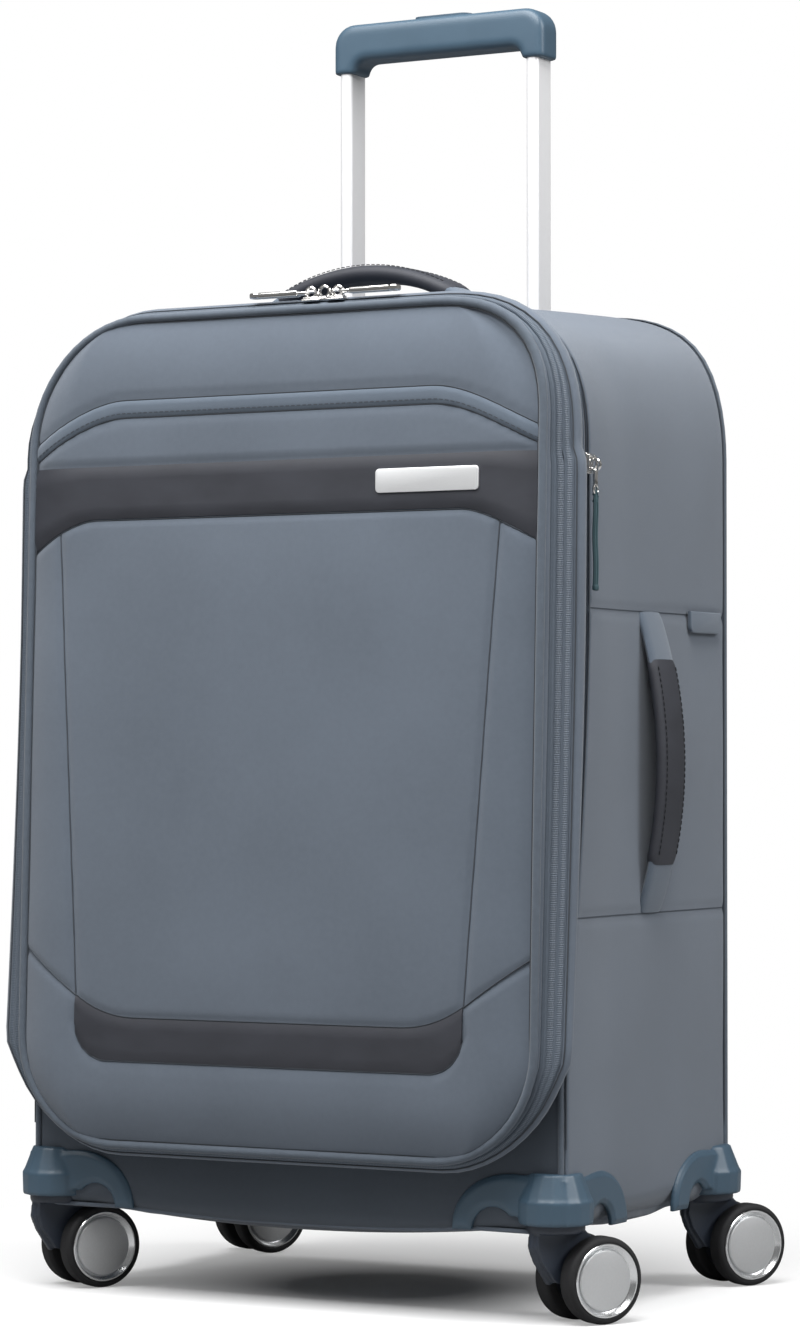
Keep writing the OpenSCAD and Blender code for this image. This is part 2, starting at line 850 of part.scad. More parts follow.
// Pull bar lying along +X from the slider's pin, with a padlock eye in its end
module pull(length) {
    translate([0, 0, slider_pin_z()]) difference() {
        union() {
            translate([0, eye_w / 2, 0]) rotate([90, 0, 0]) cylinder(d = eye_d, h = eye_w);
            translate([0, -eye_w / 2, -pull_t / 2]) cube([10, eye_w, pull_t]);
            translate([8, 0, -pull_t / 2]) linear_extrude(pull_t)
                translate([(length - 8) / 2, 0]) rounded(length - 8, pull_w, 1.5);
        }
        translate([0, eye_w, 0]) rotate([90, 0, 0]) cylinder(d = pin_d + 2 * running_gap, h = 2 * eye_w);
        translate([length - 4, 0, -pull_t]) cylinder(d = pull_hole_d, h = 2 * pull_t);
    }
}

module at_main_zip(x) {
    translate([x, y_main_zip, RING[2] + slide_gap]) children();
}

module at_expander_zip() {
    translate([RING[0] + slide_gap, y_expander_zip, z_expander_slider]) rotate([0, 90, 0]) children();
}

module left_slider() { color("silver") at_main_zip(x_left_slider) slider(); }
module right_slider() { color("silver") at_main_zip(x_right_slider) slider(); }
module left_pull() { color("silver") at_main_zip(x_left_slider) mirror([1, 0, 0]) pull(pull_l); }
module right_pull() { color("silver") at_main_zip(x_right_slider) pull(pull_l); }
module expander_slider() { color("silver") at_expander_zip() slider(); }
module expander_pull() { color("silver") at_expander_zip() pull(link_l); }

// Moulded grip on the expander's pull: a knot and two bonded strands
module expander_grip() {
    knot_d = 5;
    knot_l = 7;
    color("#3c555a") at_expander_zip() translate([link_l, 0, slider_pin_z()]) {
        rotate([0, 90, 0]) cylinder(d = knot_d, h = knot_l);
        for (side = [-1, 1]) translate([knot_l / 2, side * strand_step / 2, 0])
            rotate([0, 90, 0]) cylinder(d = strand_d, h = strand_l);
    }
}

body_shell();
back_panel();
shell_piping();
lining();
base_tray();
corner_housing(LEFT, FRONT);  // housing_front_left
corner_housing(RIGHT, FRONT);  // housing_front_right
corner_housing(LEFT, REAR);  // housing_rear_left
corner_housing(RIGHT, REAR);  // housing_rear_right
caster_kingpins();
caster_bearings();
housing_screws();
outer_tubes();
trolley_bezel();
trolley_foot();
expander_zip_rear();
handle_anchors();
side_tab();
packing_straps();
strap_buckle();
expander_strip();
expander_zip_tapes();
expander_sleeve();
lid_panel();
lid_gusset();
lid_zip_tape();
lid_piping();
pocket_flap();
upper_band();
lower_band();
name_plate();
lid_pocket();
middle_tubes();
upper_tubes();
grip_upper_shell();
grip_lower_shell();
release_button();
release_rods();
button_spring();
top_handle();
side_handle();
left_slider();
left_pull();
right_slider();
right_pull();
expander_slider();
expander_pull();
expander_grip();
fork(LEFT, FRONT);  // fork_front_left
fork(RIGHT, FRONT);  // fork_front_right
fork(LEFT, REAR);  // fork_rear_left
fork(RIGHT, REAR);  // fork_rear_right
tyres(LEFT, FRONT);  // tyres_front_left
tyres(RIGHT, FRONT);  // tyres_front_right
tyres(LEFT, REAR);  // tyres_rear_left
tyres(RIGHT, REAR);  // tyres_rear_right
hubs(LEFT, FRONT);  // hubs_front_left
hubs(RIGHT, FRONT);  // hubs_front_right
hubs(LEFT, REAR);  // hubs_rear_left
hubs(RIGHT, REAR);  // hubs_rear_right
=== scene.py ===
"""Softside spinner suitcase: soft shell, padded lid, trims, handles and casters round its frame."""

import json
import math
from collections import namedtuple

import bmesh
import bpy
from bpy.props import FloatProperty, FloatVectorProperty, PointerProperty
from mathutils import Matrix, Vector, noise
from mathutils.bvhtree import BVHTree

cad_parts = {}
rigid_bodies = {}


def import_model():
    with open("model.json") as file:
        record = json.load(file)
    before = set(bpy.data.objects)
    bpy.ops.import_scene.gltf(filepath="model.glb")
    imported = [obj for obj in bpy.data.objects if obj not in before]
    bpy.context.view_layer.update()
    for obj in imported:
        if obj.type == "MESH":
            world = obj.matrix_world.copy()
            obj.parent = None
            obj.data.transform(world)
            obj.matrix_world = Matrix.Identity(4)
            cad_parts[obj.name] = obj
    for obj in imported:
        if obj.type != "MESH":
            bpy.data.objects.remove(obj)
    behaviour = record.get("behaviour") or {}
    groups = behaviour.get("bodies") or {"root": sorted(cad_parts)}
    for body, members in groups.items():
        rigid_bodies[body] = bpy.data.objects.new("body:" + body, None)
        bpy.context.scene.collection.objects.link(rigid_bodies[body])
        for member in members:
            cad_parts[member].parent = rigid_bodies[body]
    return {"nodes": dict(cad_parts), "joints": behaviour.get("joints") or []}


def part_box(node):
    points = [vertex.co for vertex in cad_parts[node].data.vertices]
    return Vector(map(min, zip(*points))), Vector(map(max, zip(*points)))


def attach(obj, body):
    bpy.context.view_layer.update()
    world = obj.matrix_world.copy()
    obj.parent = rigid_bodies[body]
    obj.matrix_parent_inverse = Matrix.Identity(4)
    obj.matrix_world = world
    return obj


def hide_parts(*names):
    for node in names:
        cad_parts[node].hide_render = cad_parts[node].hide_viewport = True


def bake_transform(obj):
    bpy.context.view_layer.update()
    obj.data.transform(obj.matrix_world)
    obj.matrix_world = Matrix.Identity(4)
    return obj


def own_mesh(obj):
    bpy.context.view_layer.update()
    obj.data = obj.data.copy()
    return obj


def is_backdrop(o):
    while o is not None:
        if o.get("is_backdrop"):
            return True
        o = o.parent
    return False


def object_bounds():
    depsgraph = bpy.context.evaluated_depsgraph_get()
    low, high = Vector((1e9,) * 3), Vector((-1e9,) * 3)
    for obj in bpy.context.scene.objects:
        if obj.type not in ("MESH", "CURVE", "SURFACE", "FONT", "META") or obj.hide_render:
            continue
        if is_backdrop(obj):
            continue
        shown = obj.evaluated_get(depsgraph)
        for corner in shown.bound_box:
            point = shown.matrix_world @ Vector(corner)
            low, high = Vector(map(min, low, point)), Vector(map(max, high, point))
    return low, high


bl_info = {
    "name": "Softside suitcase",
    "version": (1, 0, 0),
    "blender": (4, 5, 0),
    "location": "View3D > Sidebar > Suitcase",
    "description": "Builds the fabric, trims, handles and casters of a softside spinner suitcase",
    "category": "Add Mesh",
}

for leftover in list(bpy.data.objects):
    bpy.data.objects.remove(leftover)
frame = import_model()
CAD_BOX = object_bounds()
NODES = frame["nodes"]
JOINTS = {joint["name"]: joint for joint in frame["joints"]}

MM = 0.001
WELD = 0.00002
LEFT, RIGHT = -1, 1
FRONT, REAR = -1, 1
CORNERS = {
    "front_left": (LEFT, FRONT),
    "front_right": (RIGHT, FRONT),
    "rear_left": (LEFT, REAR),
    "rear_right": (RIGHT, REAR),
}

# ---- Places, from the frame ----

Outline = namedtuple("Outline", "half low high r_up r_low")


def low(node):
    """Lower corner of a node's box."""
    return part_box(node)[0]


def high(node):
    """Upper corner of a node's box."""
    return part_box(node)[1]


TOP_R = 90 * MM
TOE_CORNER = 94 * MM
SHELL = Outline(high("body_shell").x, low("body_shell").z, high("body_shell").z, TOP_R, 18 * MM)
RING_INSET = SHELL.half - high("expander_strip").x
RING = Outline(SHELL.half - RING_INSET, low("expander_strip").z, high("expander_strip").z,
               TOP_R - RING_INSET, 74 * MM)
LID_INSET = RING.half - high("lid_gusset").x
LID = Outline(RING.half - LID_INSET, low("lid_gusset").z, high("lid_gusset").z,
              RING.r_up - LID_INSET, 70 * MM)
LINING = Outline(high("lining").x, low("lining").z, high("lining").z, TOP_R - 5 * MM, 14 * MM)
Y_BACK = high("back_panel").y
Y_TOE = low("body_shell").y
Y_SPLIT = high("expander_zip_rear").y
Y_SEAM = low("expander_zip_rear").y
Y_STRIP = high("expander_strip").y
Y_MAIN = low("expander_strip").y
Y_MAIN_SEAM = high("lid_zip_tape").y
Y_LID = low("lid_zip_tape").y
Y_FRONT = low("lid_panel").y
Y_LINING = high("lining").y
SWIVELS = [tuple(JOINTS["swivel_turn_" + key]["pos_m"][:2]) for key in CORNERS]
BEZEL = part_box("trolley_bezel")
RIDGE_Y, RIDGE, SPLIT_STAND = -118 * MM, 11.5 * MM, 2.5 * MM
LEAN_START, LEAN_SPAN, REAR_LEAN = 440 * MM, 275 * MM, 31 * MM
TILT_START, TILT_SPAN, TILT, TILT_TOP = 600 * MM, 450 * MM, 15 * MM, 6 * MM
CROWN_RISE, BEZEL_MARGIN = 8 * MM, 12 * MM
CORNER_PUSH, FRONT_CORNER_PUSH = 6 * MM, 4 * MM
COVER_LOW, COVER_HIGH = SHELL.high - 485 * MM, SHELL.high - 100 * MM
SIDE_SEAMS = (SHELL.high - 194 * MM, SHELL.high - 386 * MM)

ARC_STEPS, LOW_ARC_STEPS, SIDE_STEPS, TOP_STEPS, FOOT_STEPS = 14, 12, 54, 24, 40
SURFACES = {}


def clamp(value, lowest=0.0, highest=1.0):
    """The value, kept between two bounds."""
    return max(lowest, min(highest, value))


def smooth(value):
    """Eased step from 0 to 1."""
    value = clamp(value)
    return value * value * (3 - 2 * value)


def rear_lean(z):
    """How far the front edge of the side panels comes forward towards the foot."""
    return -REAR_LEAN * clamp((LEAN_START - z) / LEAN_SPAN) ** 1.5


def front_lean(z):
    """Slight forward tilt of the lid's face."""
    return TILT_TOP - TILT * clamp((TILT_START - z) / TILT_SPAN)


def lean(y, z):
    """Shift in depth of a point of the frame, so that the front tapers towards its top."""
    if y >= Y_SPLIT:
        return rear_lean(z) * (Y_BACK - y) / (Y_BACK - Y_SPLIT)
    share = clamp((Y_SPLIT - y) / (Y_SPLIT - Y_FRONT))
    return (1 - share) * rear_lean(z) + share * front_lean(z)


def flare(y):
    """How far the frame stands out round its zippers, over the cloth folded away behind them."""
    if y < RIDGE_Y:
        return RIDGE * smooth((y - Y_FRONT - 3 * MM) / (RIDGE_Y - Y_FRONT - 3 * MM))
    if y < Y_SPLIT:
        return RIDGE - (RIDGE - SPLIT_STAND) * smooth((y - RIDGE_Y) / (Y_SPLIT - RIDGE_Y))
    return SPLIT_STAND * (1 - smooth((y - Y_SPLIT) / (60 * MM)))


def cover_share(z):
    """1 along the sides between the expander's two garages, 0 above and below them."""
    return smooth((z - COVER_LOW) / (7 * MM)) * smooth((COVER_HIGH - z) / (5 * MM))


def crown(x, y):
    """How far the top rises towards the back, except round the pull handle's bezel."""
    box_low, box_high = BEZEL
    off = max(box_low.x - x, x - box_high.x, box_low.y - y, y - box_high.y, 0)
    return CROWN_RISE * smooth((y - Y_SPLIT) / (Y_BACK - Y_SPLIT)) * smooth(off / BEZEL_MARGIN)


def corner_push(x, y, z):
    """Push of a filled upper corner, out along its own radius: (sideways, up)."""
    dx, dz = abs(x) - SHELL.half + TOP_R, z - SHELL.high + TOP_R
    if dx <= 0 or dz <= 0:
        return 0.0, 0.0
    reach = math.hypot(dx, dz)
    most = CORNER_PUSH if y > Y_SPLIT + 20 * MM or x > 0 else 0.0
    most += FRONT_CORNER_PUSH * smooth((Y_SPLIT - y) / (20 * MM)) if x > 0 else 0.0
    push = most * (2 * dx * dz / reach ** 2) ** 2 * (reach / TOP_R) ** 2
    return math.copysign(push * dx / reach, x), push * dz / reach


def place(x, y, z):
    """Where a point of the upright frame goes, with the soft body's tapers and bulges."""
    push_x, push_z = corner_push(x, y, z)
    middle = (SHELL.high + SHELL.low) / 2 + 20 * MM
    tall = clamp(abs(z - middle) / (SHELL.high - middle)) ** 8
    wide = clamp(abs(x) / SHELL.half) ** 6
    stand = flare(y)
    aside = stand * wide * (1 + 0.3 * cover_share(z) * smooth((Y_SPLIT + 8 * MM - y) / (12 * MM)))
    upward = 0.45 * stand * tall
    top = clamp((z - SHELL.high + 80 * MM) / (60 * MM))
    lift = crown(x, y) * smooth(top)
    return Vector((x + math.copysign(aside, x) + push_x, y + lean(y, z),
                   z + math.copysign(upward, z - middle) + lift + push_z))


def outline_points(shape, inset=0.0):
    """Points round a rounded outline, from its lower right corner, anticlockwise seen from the front."""
    half, foot, top = shape.half - inset, shape.low + inset, shape.high - inset
    r_up, r_low = shape.r_up - inset, shape.r_low - inset
    corners = (
        (half - r_low, foot + r_low, r_low, -90, LOW_ARC_STEPS, SIDE_STEPS),
        (half - r_up, top - r_up, r_up, 0, ARC_STEPS, TOP_STEPS),
        (r_up - half, top - r_up, r_up, 90, ARC_STEPS, SIDE_STEPS),
        (r_low - half, foot + r_low, r_low, 180, LOW_ARC_STEPS, FOOT_STEPS),
    )
    points = []
    ends = [
        (cx + r * math.cos(math.radians(turn)), cz + r * math.sin(math.radians(turn)))
        for cx, cz, r, turn, _, _ in corners
    ]
    for k, (cx, cz, r, turn, arc_steps, straight_steps) in enumerate(corners):
        for step in range(arc_steps + 1):
            angle = math.radians(turn + 90 * step / arc_steps)
            points.append((cx + r * math.cos(angle), cz + r * math.sin(angle)))
        x0, z0 = points[-1]
        x1, z1 = ends[(k + 1) % 4]
        for step in range(1, straight_steps):
            t = step / straight_steps
            points.append((x0 + (x1 - x0) * t, z0 + (z1 - z0) * t))
    return points


def half_width(shape, z):
    """Half of an outline's width at a height."""
    if z > shape.high - shape.r_up:
        rise = clamp((z - shape.high + shape.r_up) / shape.r_up)
        return shape.half - shape.r_up + shape.r_up * math.sqrt(1 - rise * rise)
    if z < shape.low + shape.r_low:
        drop = clamp((shape.low + shape.r_low - z) / shape.r_low)
        return shape.half - shape.r_low + shape.r_low * math.sqrt(1 - drop * drop)
    return shape.half


# ---- Mesh helpers ----

def link(name, mesh):
    """Puts a mesh in the scene as an object at the origin."""
    piece = bpy.data.objects.new(name, mesh)
    bpy.context.scene.collection.objects.link(piece)
    return piece


def to_piece(name, bm, sharp=40):
    """Welds a bmesh, turns its faces outwards and makes it an object."""
    bmesh.ops.remove_doubles(bm, verts=bm.verts, dist=WELD)
    bmesh.ops.recalc_face_normals(bm, faces=bm.faces)
    mesh = bpy.data.meshes.new(name)
    bm.to_mesh(mesh)
    bm.free()
    mesh.shade_smooth()
    mesh.set_sharp_from_angle(angle=math.radians(sharp))
    return link(name, mesh)


def dress(piece, material, body, replaces=()):
    """Gives a piece its material, the body it rides on and the nodes it stands for."""
    piece.data.materials.clear()
    piece.data.materials.append(material)
    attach(piece, body)
    if replaces:
        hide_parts(*replaces)
    return piece


def loft(bm, rings, closed=True):
    """Joins rings of points row by row, with a UV map in metres along and across them."""
    count = len(rings[0])
    row = [bm.verts.new(point) for point in rings[0]]
    span = count if closed else count - 1
    edges = [bm.edges.new((row[i], row[(i + 1) % count])) for i in range(span)]
    along = [0.0]
    for i in range(count):
        along.append(along[-1] + (Vector(rings[0][(i + 1) % count]) - Vector(rings[0][i])).length)
    across, spots = 0.0, {v: (i, 0.0) for i, v in enumerate(row)}
    uv = bm.loops.layers.uv.get("UVMap") or bm.loops.layers.uv.new("UVMap")
    middle = count // 3
    for k in range(1, len(rings)):
        across += (Vector(rings[k][middle]) - Vector(rings[k - 1][middle])).length
        made = bmesh.ops.extrude_edge_only(bm, edges=edges)["geom"]
        fresh = {g for g in made if isinstance(g, bmesh.types.BMVert)}
        row = [next(e.other_vert(v) for e in v.link_edges if e.other_vert(v) in fresh) for v in row]
        for i, vertex in enumerate(row):
            vertex.co = rings[k][i]
            spots[vertex] = (i, across)
        edges = [g for g in made if isinstance(g, bmesh.types.BMEdge) and set(g.verts) <= fresh]
        for face in (g for g in made if isinstance(g, bmesh.types.BMFace)):
            indices = [spots[corner.vert][0] for corner in face.loops]
            wraps = closed and max(indices) - min(indices) > 1
            for corner in face.loops:
                i, side = spots[corner.vert]
                corner[uv].uv = (along[count] if wraps and i == 0 else along[i], side)
    return row


def round_ring(shape, profile, bend=True):
    """Rings of an outline, one for each (inset, depth) of a closed profile."""
    rings = []
    for inset, y in list(profile) + [profile[0]]:
        ring = []
        for x, z in outline_points(shape, inset):
            ring.append(place(x, y, z) if bend else Vector((x, y, z)))
        rings.append(ring)
    return rings


def hoop(name, shape, profile):
    """A closed band that runs round an outline."""
    bm = bmesh.new()
    loft(bm, round_ring(shape, profile))
    return to_piece(name, bm)


def slab_profile(y0, y1, outer, thick, crown=0.0, steps=6, edge=0.6 * MM):
    """Cross-section of a flat band between two depths: crowned outside, flat inside."""
    outside = []
    for k in range(steps + 1):
        t = k / steps
        inset = outer - crown * math.sin(math.pi * t) + edge * (1 if k in (0, steps) else 0)
        outside.append((inset, y0 + (y1 - y0) * t))
    return outside + [(outer + thick, y1), (outer + thick, y0)]


def cord_profile(inset, y, radius, steps=10):
    """Round cross-section of a piping or a coil."""
    turns = [2 * math.pi * k / steps for k in range(steps)]
    return [(inset + radius * math.cos(a), y + radius * math.sin(a)) for a in turns]


def absorb(bm, part):
    """Takes a part's mesh into a bmesh and removes the part."""
    mesh = part.data
    bm.from_mesh(mesh)
    bpy.data.objects.remove(part)
    bpy.data.meshes.remove(mesh)


def tube(name, path, radius, steps=8, flat=1.0, sharp=60):
    """A closed round cord along an open path of points."""
    bm = bmesh.new()
    points = [Vector(p) for p in path]
    rings, side = [], None
    for k, point in enumerate(points):
        ahead = points[min(k + 1, len(points) - 1)] - points[max(k - 1, 0)]
        ahead.normalize()
        if side is None:
            side = ahead.orthogonal().normalized()
        side = (side - ahead * side.dot(ahead)).normalized()
        other = ahead.cross(side)
        rings.append([
            point + radius * (math.cos(a) * side + flat * math.sin(a) * other)
            for a in (2 * math.pi * j / steps for j in range(steps))
        ])
    last = loft(bm, rings)
    first = [v for v in bm.verts if len(v.link_faces) == 2 and v not in set(last)]
    for loop_verts in (last, first):
        loop_edges = [e for e in bm.edges if e.is_boundary and set(e.verts) <= set(loop_verts)]
        bmesh.ops.contextual_create(bm, geom=loop_edges)
    return to_piece(name, bm, sharp)


def evaluated(piece):
    """The piece's mesh with its modifiers applied, in the piece's own place."""
    graph = bpy.context.evaluated_depsgraph_get()
    mesh = bpy.data.meshes.new_from_object(piece.evaluated_get(graph))
    materials = [m for m in piece.data.materials]
    piece.modifiers.clear()
    old, piece.data = piece.data, mesh
    bpy.data.meshes.remove(old)
    piece.data.materials.clear()
    for material in materials:
        piece.data.materials.append(material)
    return piece


def refined(piece, levels=1):
    """The piece with its faces divided and rounded."""
    finer = piece.modifiers.new("finer", "SUBSURF")
    finer.levels = finer.render_levels = levels
    evaluated(piece)
    piece.data.shade_smooth()
    return piece


def inflate(piece, held, rise, pressure=4.0, frames=20):
    """Blows a piece of cloth up by simulation, held where held() says, and caps how far it rises."""
    rest = [v.co.copy() for v in piece.data.vertices]
    pins = piece.vertex_groups.new(name="held")
    for v in piece.data.vertices:
        pins.add([v.index], clamp(held(v.co)), "REPLACE")
    cloth = piece.modifiers.new("cloth", "CLOTH")
    settings = cloth.settings
    settings.quality = 5
    settings.mass = 0.3
    settings.tension_stiffness = settings.compression_stiffness = 40
    settings.shear_stiffness = 20
    settings.bending_stiffness = 6
    settings.use_pressure = True
    settings.uniform_pressure_force = pressure
    settings.effector_weights.gravity = 0
    settings.vertex_group_mass = "held"
    cloth.point_cache.frame_start = 1
    cloth.point_cache.frame_end = frames
    for number in range(1, frames + 1):
        bpy.context.scene.frame_set(number)
    graph = bpy.context.evaluated_depsgraph_get()
    blown = piece.evaluated_get(graph).data
    moves = [v.co - r for v, r in zip(blown.vertices, rest)]
    largest = max(m.length for m in moves)
    share = min(1.0, rise / max(largest, 1e-9))
    piece.modifiers.remove(cloth)
    for vertex, start, move in zip(piece.data.vertices, rest, moves):
        vertex.co = start + move * share
    bpy.context.scene.frame_set(1)
    return piece


def moulded(name, parts, voxel, rounds=3):
    """Joins overlapping closed parts into one moulded skin with soft inner corners."""
    bm = bmesh.new()
    for part in parts:
        absorb(bm, part)
    whole = bpy.data.meshes.new(name)
    bm.to_mesh(whole)
    bm.free()
    piece = link(name, whole)
    skin = piece.modifiers.new("skin", "REMESH")
    skin.mode = "VOXEL"
    skin.voxel_size = voxel
    soften = piece.modifiers.new("soften", "SMOOTH")
    soften.factor = 0.5
    soften.iterations = rounds
    evaluated(piece)
    piece.data.shade_smooth()
    return piece


def box_part(lowest, highest, bevel=0.0, segments=3):
    """A box between two corners, its edges rounded."""
    bm = bmesh.new()
    bmesh.ops.create_cube(bm, size=1)
    size = Vector(highest) - Vector(lowest)
    bmesh.ops.scale(bm, vec=size, verts=bm.verts)
    bmesh.ops.translate(bm, vec=(Vector(highest) + Vector(lowest)) / 2, verts=bm.verts)
    if bevel:
        bmesh.ops.bevel(bm, geom=bm.edges[:], offset=bevel, affect="EDGES", segments=segments,
                        profile=0.5, material=-1)
    return to_piece("part", bm)


def plate_part(points, thick, bevel=0.0, segments=2, turn=None):
    """A flat plate with an outline in X and Z, its front at Y 0, moved by a matrix."""
    bm = bmesh.new()
    face = bm.faces.new([bm.verts.new((x, 0, z)) for x, z in points])
    made = bmesh.ops.extrude_face_region(bm, geom=[face])["geom"]
    bmesh.ops.translate(bm, vec=(0, thick, 0), verts=[g for g in made if isinstance(g, bmesh.types.BMVert)])
    if bevel:
        rims = [e for e in bm.edges if abs(e.verts[0].co.y - e.verts[1].co.y) < WELD]
        bmesh.ops.bevel(bm, geom=rims, offset=bevel, affect="EDGES", segments=segments,
                        profile=0.5, material=-1)
    if turn is not None:
        bmesh.ops.transform(bm, matrix=turn, verts=bm.verts)
    return to_piece("part", bm)


def spun(name, profile, turn=None, steps=48, sharp=35):
    """A shape turned about Z from a profile of (radius, height), moved by a matrix."""
    bm = bmesh.new()
    verts = [bm.verts.new((r, 0, z)) for r, z in profile]
    edges = [bm.edges.new(pair) for pair in zip(verts, verts[1:])]
    bmesh.ops.spin(bm, geom=verts + edges, angle=2 * math.pi, steps=steps, axis=(0, 0, 1),
                   cent=(0, 0, 0), use_merge=True)
    if turn is not None:
        bmesh.ops.transform(bm, matrix=turn, verts=bm.verts)
    return to_piece(name, bm, sharp)


def arc(cx, cz, radius, start, end, steps=10):
    """Points of an arc in degrees, from start to end."""
    turns = [math.radians(start + (end - start) * k / steps) for k in range(steps + 1)]
    return [(cx + radius * math.cos(a), cz + radius * math.sin(a)) for a in turns]


# ---- Shader helpers ----

class Value:
    """A shader socket that takes part in arithmetic."""

    def __init__(self, shader, socket):
        self.shader, self.socket = shader, socket

    def math(self, operation, a, b=0.0):
        return self.shader.add("ShaderNodeMath", {"operation": operation}, {0: a, 1: b})

    def __add__(self, other):
        return self.math("ADD", self, other)

    def __radd__(self, other):
        return self.math("ADD", other, self)

    def __sub__(self, other):
        return self.math("SUBTRACT", self, other)

    def __rsub__(self, other):
        return self.math("SUBTRACT", other, self)

    def __mul__(self, other):
        return self.math("MULTIPLY", self, other)

    def __rmul__(self, other):
        return self.math("MULTIPLY", other, self)

    def __gt__(self, other):
        return self.math("GREATER_THAN", self, other)

    def __abs__(self):
        return self.math("ABSOLUTE", self)

    def sine(self):
        return self.math("SINE", self)


class Shader:
    """The node tree of a material or a world, built through one method."""

    def __init__(self, name, family="materials"):
        self.owner = getattr(bpy.data, family).new(name)
        self.owner.use_nodes = True
        self.tree = self.owner.node_tree
        self.tree.nodes.clear()

    def add(self, kind, settings=None, inputs=None, output=0):
        """Adds a node: its type, its settings, and the values or links of its sockets."""
        node = self.tree.nodes.new(kind)
        for key, value in (settings or {}).items():
            setattr(node, key, value)
        for key, value in (inputs or {}).items():
            if isinstance(value, Value):
                self.tree.links.new(value.socket, node.inputs[key])
            else:
                node.inputs[key].default_value = value
        return None if output is None else Value(self, node.outputs[output])

    def axes(self, coordinates="Object"):
        """The three parts of a texture coordinate."""
        spot = self.add("ShaderNodeTexCoord", output=coordinates)
        return [self.add("ShaderNodeSeparateXYZ", inputs={0: spot}, output=k) for k in range(3)]

    def noise(self, scale, detail=3.0, rough=0.5, stretch=(1, 1, 1)):
        """Noise on object coordinates, stretched along the axes."""
        spot = self.add("ShaderNodeTexCoord", output="Object")
        spot = self.add("ShaderNodeMapping", inputs={"Vector": spot, "Scale": stretch})
        return self.add("ShaderNodeTexNoise", {"noise_dimensions": "3D"},
                        {"Vector": spot, "Scale": scale, "Detail": detail, "Roughness": rough})

    def blend(self, factor, first, second):
        """One colour blended into another."""
        return self.add("ShaderNodeMix", {"data_type": "RGBA"}, {0: factor, 6: first, 7: second}, 2)

    def bump(self, height, strength, distance):
        """A normal raised by a height."""
        return self.add("ShaderNodeBump", None,
                        {"Height": height, "Strength": strength, "Distance": distance})

    def finish(self, colour, rough, normal=None, **constants):
        """Closes the tree with a Principled surface and gives back the material."""
        inputs = {"Base Color": colour, "Roughness": rough}
        if normal is not None:
            inputs["Normal"] = normal
        for key, value in constants.items():
            inputs[key.replace("_", " ")] = value
        surface = self.add("ShaderNodeBsdfPrincipled", None, inputs)
        self.add("ShaderNodeOutputMaterial", None, {"Surface": surface}, None)
        return self.owner


# ---- Materials ----

def dark(colour, share):
    """A colour at a share of its brightness, below or above 1."""
    return tuple(channel * share for channel in colour[:3]) + (1.0,)


def woven(name, colour, pitch=0.7 * MM, rough=0.82, cloud=0.09, depth=0.25 * MM, sheen=0.25):
    """Plain weave that lies in the surface's own plane, with soft clouds of colour."""
    s = Shader(name)
    x, y, z = s.axes()
    nx, _, nz = s.axes("Normal")
    sideways = abs(nx) > 0.7
    upwards = abs(nz) > 0.7
    u = x * (1 - sideways) + y * sideways
    v = z * (1 - upwards) + y * upwards
    k = 2 * math.pi / pitch
    weave = (u * k).sine() * (v * k).sine()
    clouds = s.noise(9.0, 4.0)
    fibres = s.noise(260.0, 3.0, 0.6)
    tone = clouds * 0.7 + fibres * 0.3 + weave * 0.04
    base = s.blend(tone, dark(colour, 1 - 3 * cloud), dark(colour, 1 + 3 * cloud))
    height = weave * 0.5 + fibres * 0.6
    normal = s.bump(height, 0.35, depth)
    return s.finish(base, rough + fibres * 0.08, normal, Sheen_Weight=sheen, Sheen_Roughness=0.5,
                    Specular_IOR_Level=0.25)


def banded(name, colour):
    """Soft leather-like band: fine grain, smoky clouds, rubbed lighter in places."""
    s = Shader(name)
    clouds = s.noise(22.0, 5.0, 0.62, stretch=(1, 1, 2.2))
    grain = s.noise(900.0, 3.0, 0.55)
    pores = s.add("ShaderNodeTexVoronoi", {"feature": "F1"}, {"Scale": 620.0})
    base = s.blend(clouds, dark(colour, 0.62), dark(colour, 1.5))
    normal = s.bump(grain * 0.6 + pores * 0.5, 0.3, 0.2 * MM)
    return s.finish(base, 0.50 + clouds * 0.22, normal, Specular_IOR_Level=0.4)


def corded(name, colour, pitch=1.1 * MM):
    """Cloth wrapped on a cord, with a slanting rib along its own length."""
    s = Shader(name)
    u, v, _ = s.axes("UV")
    rib = ((u + v * 0.8) * (2 * math.pi / pitch)).sine()
    fibres = s.noise(240.0, 3.0)
    base = s.blend(fibres * 0.7 + rib * 0.08, dark(colour, 0.74), dark(colour, 1.26))
    return s.finish(base, 0.78 + fibres * 0.1, s.bump(rib * 0.5 + fibres * 0.5, 0.3, 0.2 * MM),
                    Sheen_Weight=0.2)


def taped(name, colour):
    """Woven zipper tape: ribs along its length and a herringbone across."""
    s = Shader(name)
    u, v, _ = s.axes("UV")
    lines = (v * (2 * math.pi / (1.3 * MM))).sine()
    chevron = ((u + abs(v) * 0.5) * (2 * math.pi / (0.9 * MM))).sine()
    fibres = s.noise(300.0, 3.0)
    base = s.blend(fibres * 0.6 + lines * 0.1 + 0.1, dark(colour, 0.76), dark(colour, 1.28))
    normal = s.bump(lines * 0.7 + chevron * 0.3 + fibres * 0.3, 0.4, 0.25 * MM)
    return s.finish(base, 0.76 + fibres * 0.1, normal, Sheen_Weight=0.15)


def coiled(name, colour, pitch=1.1 * MM):
    """A zipper's coil: bright turns with dark gaps along its length."""
    s = Shader(name)
    u, _, _ = s.axes("UV")
    turns = (u * (2 * math.pi / pitch)).sine()
    base = s.blend(turns * 0.5 + 0.5, dark(colour, 0.72), dark(colour, 1.42))
    return s.finish(base, 0.5, s.bump(turns, 0.5, 0.25 * MM), Specular_IOR_Level=0.4)


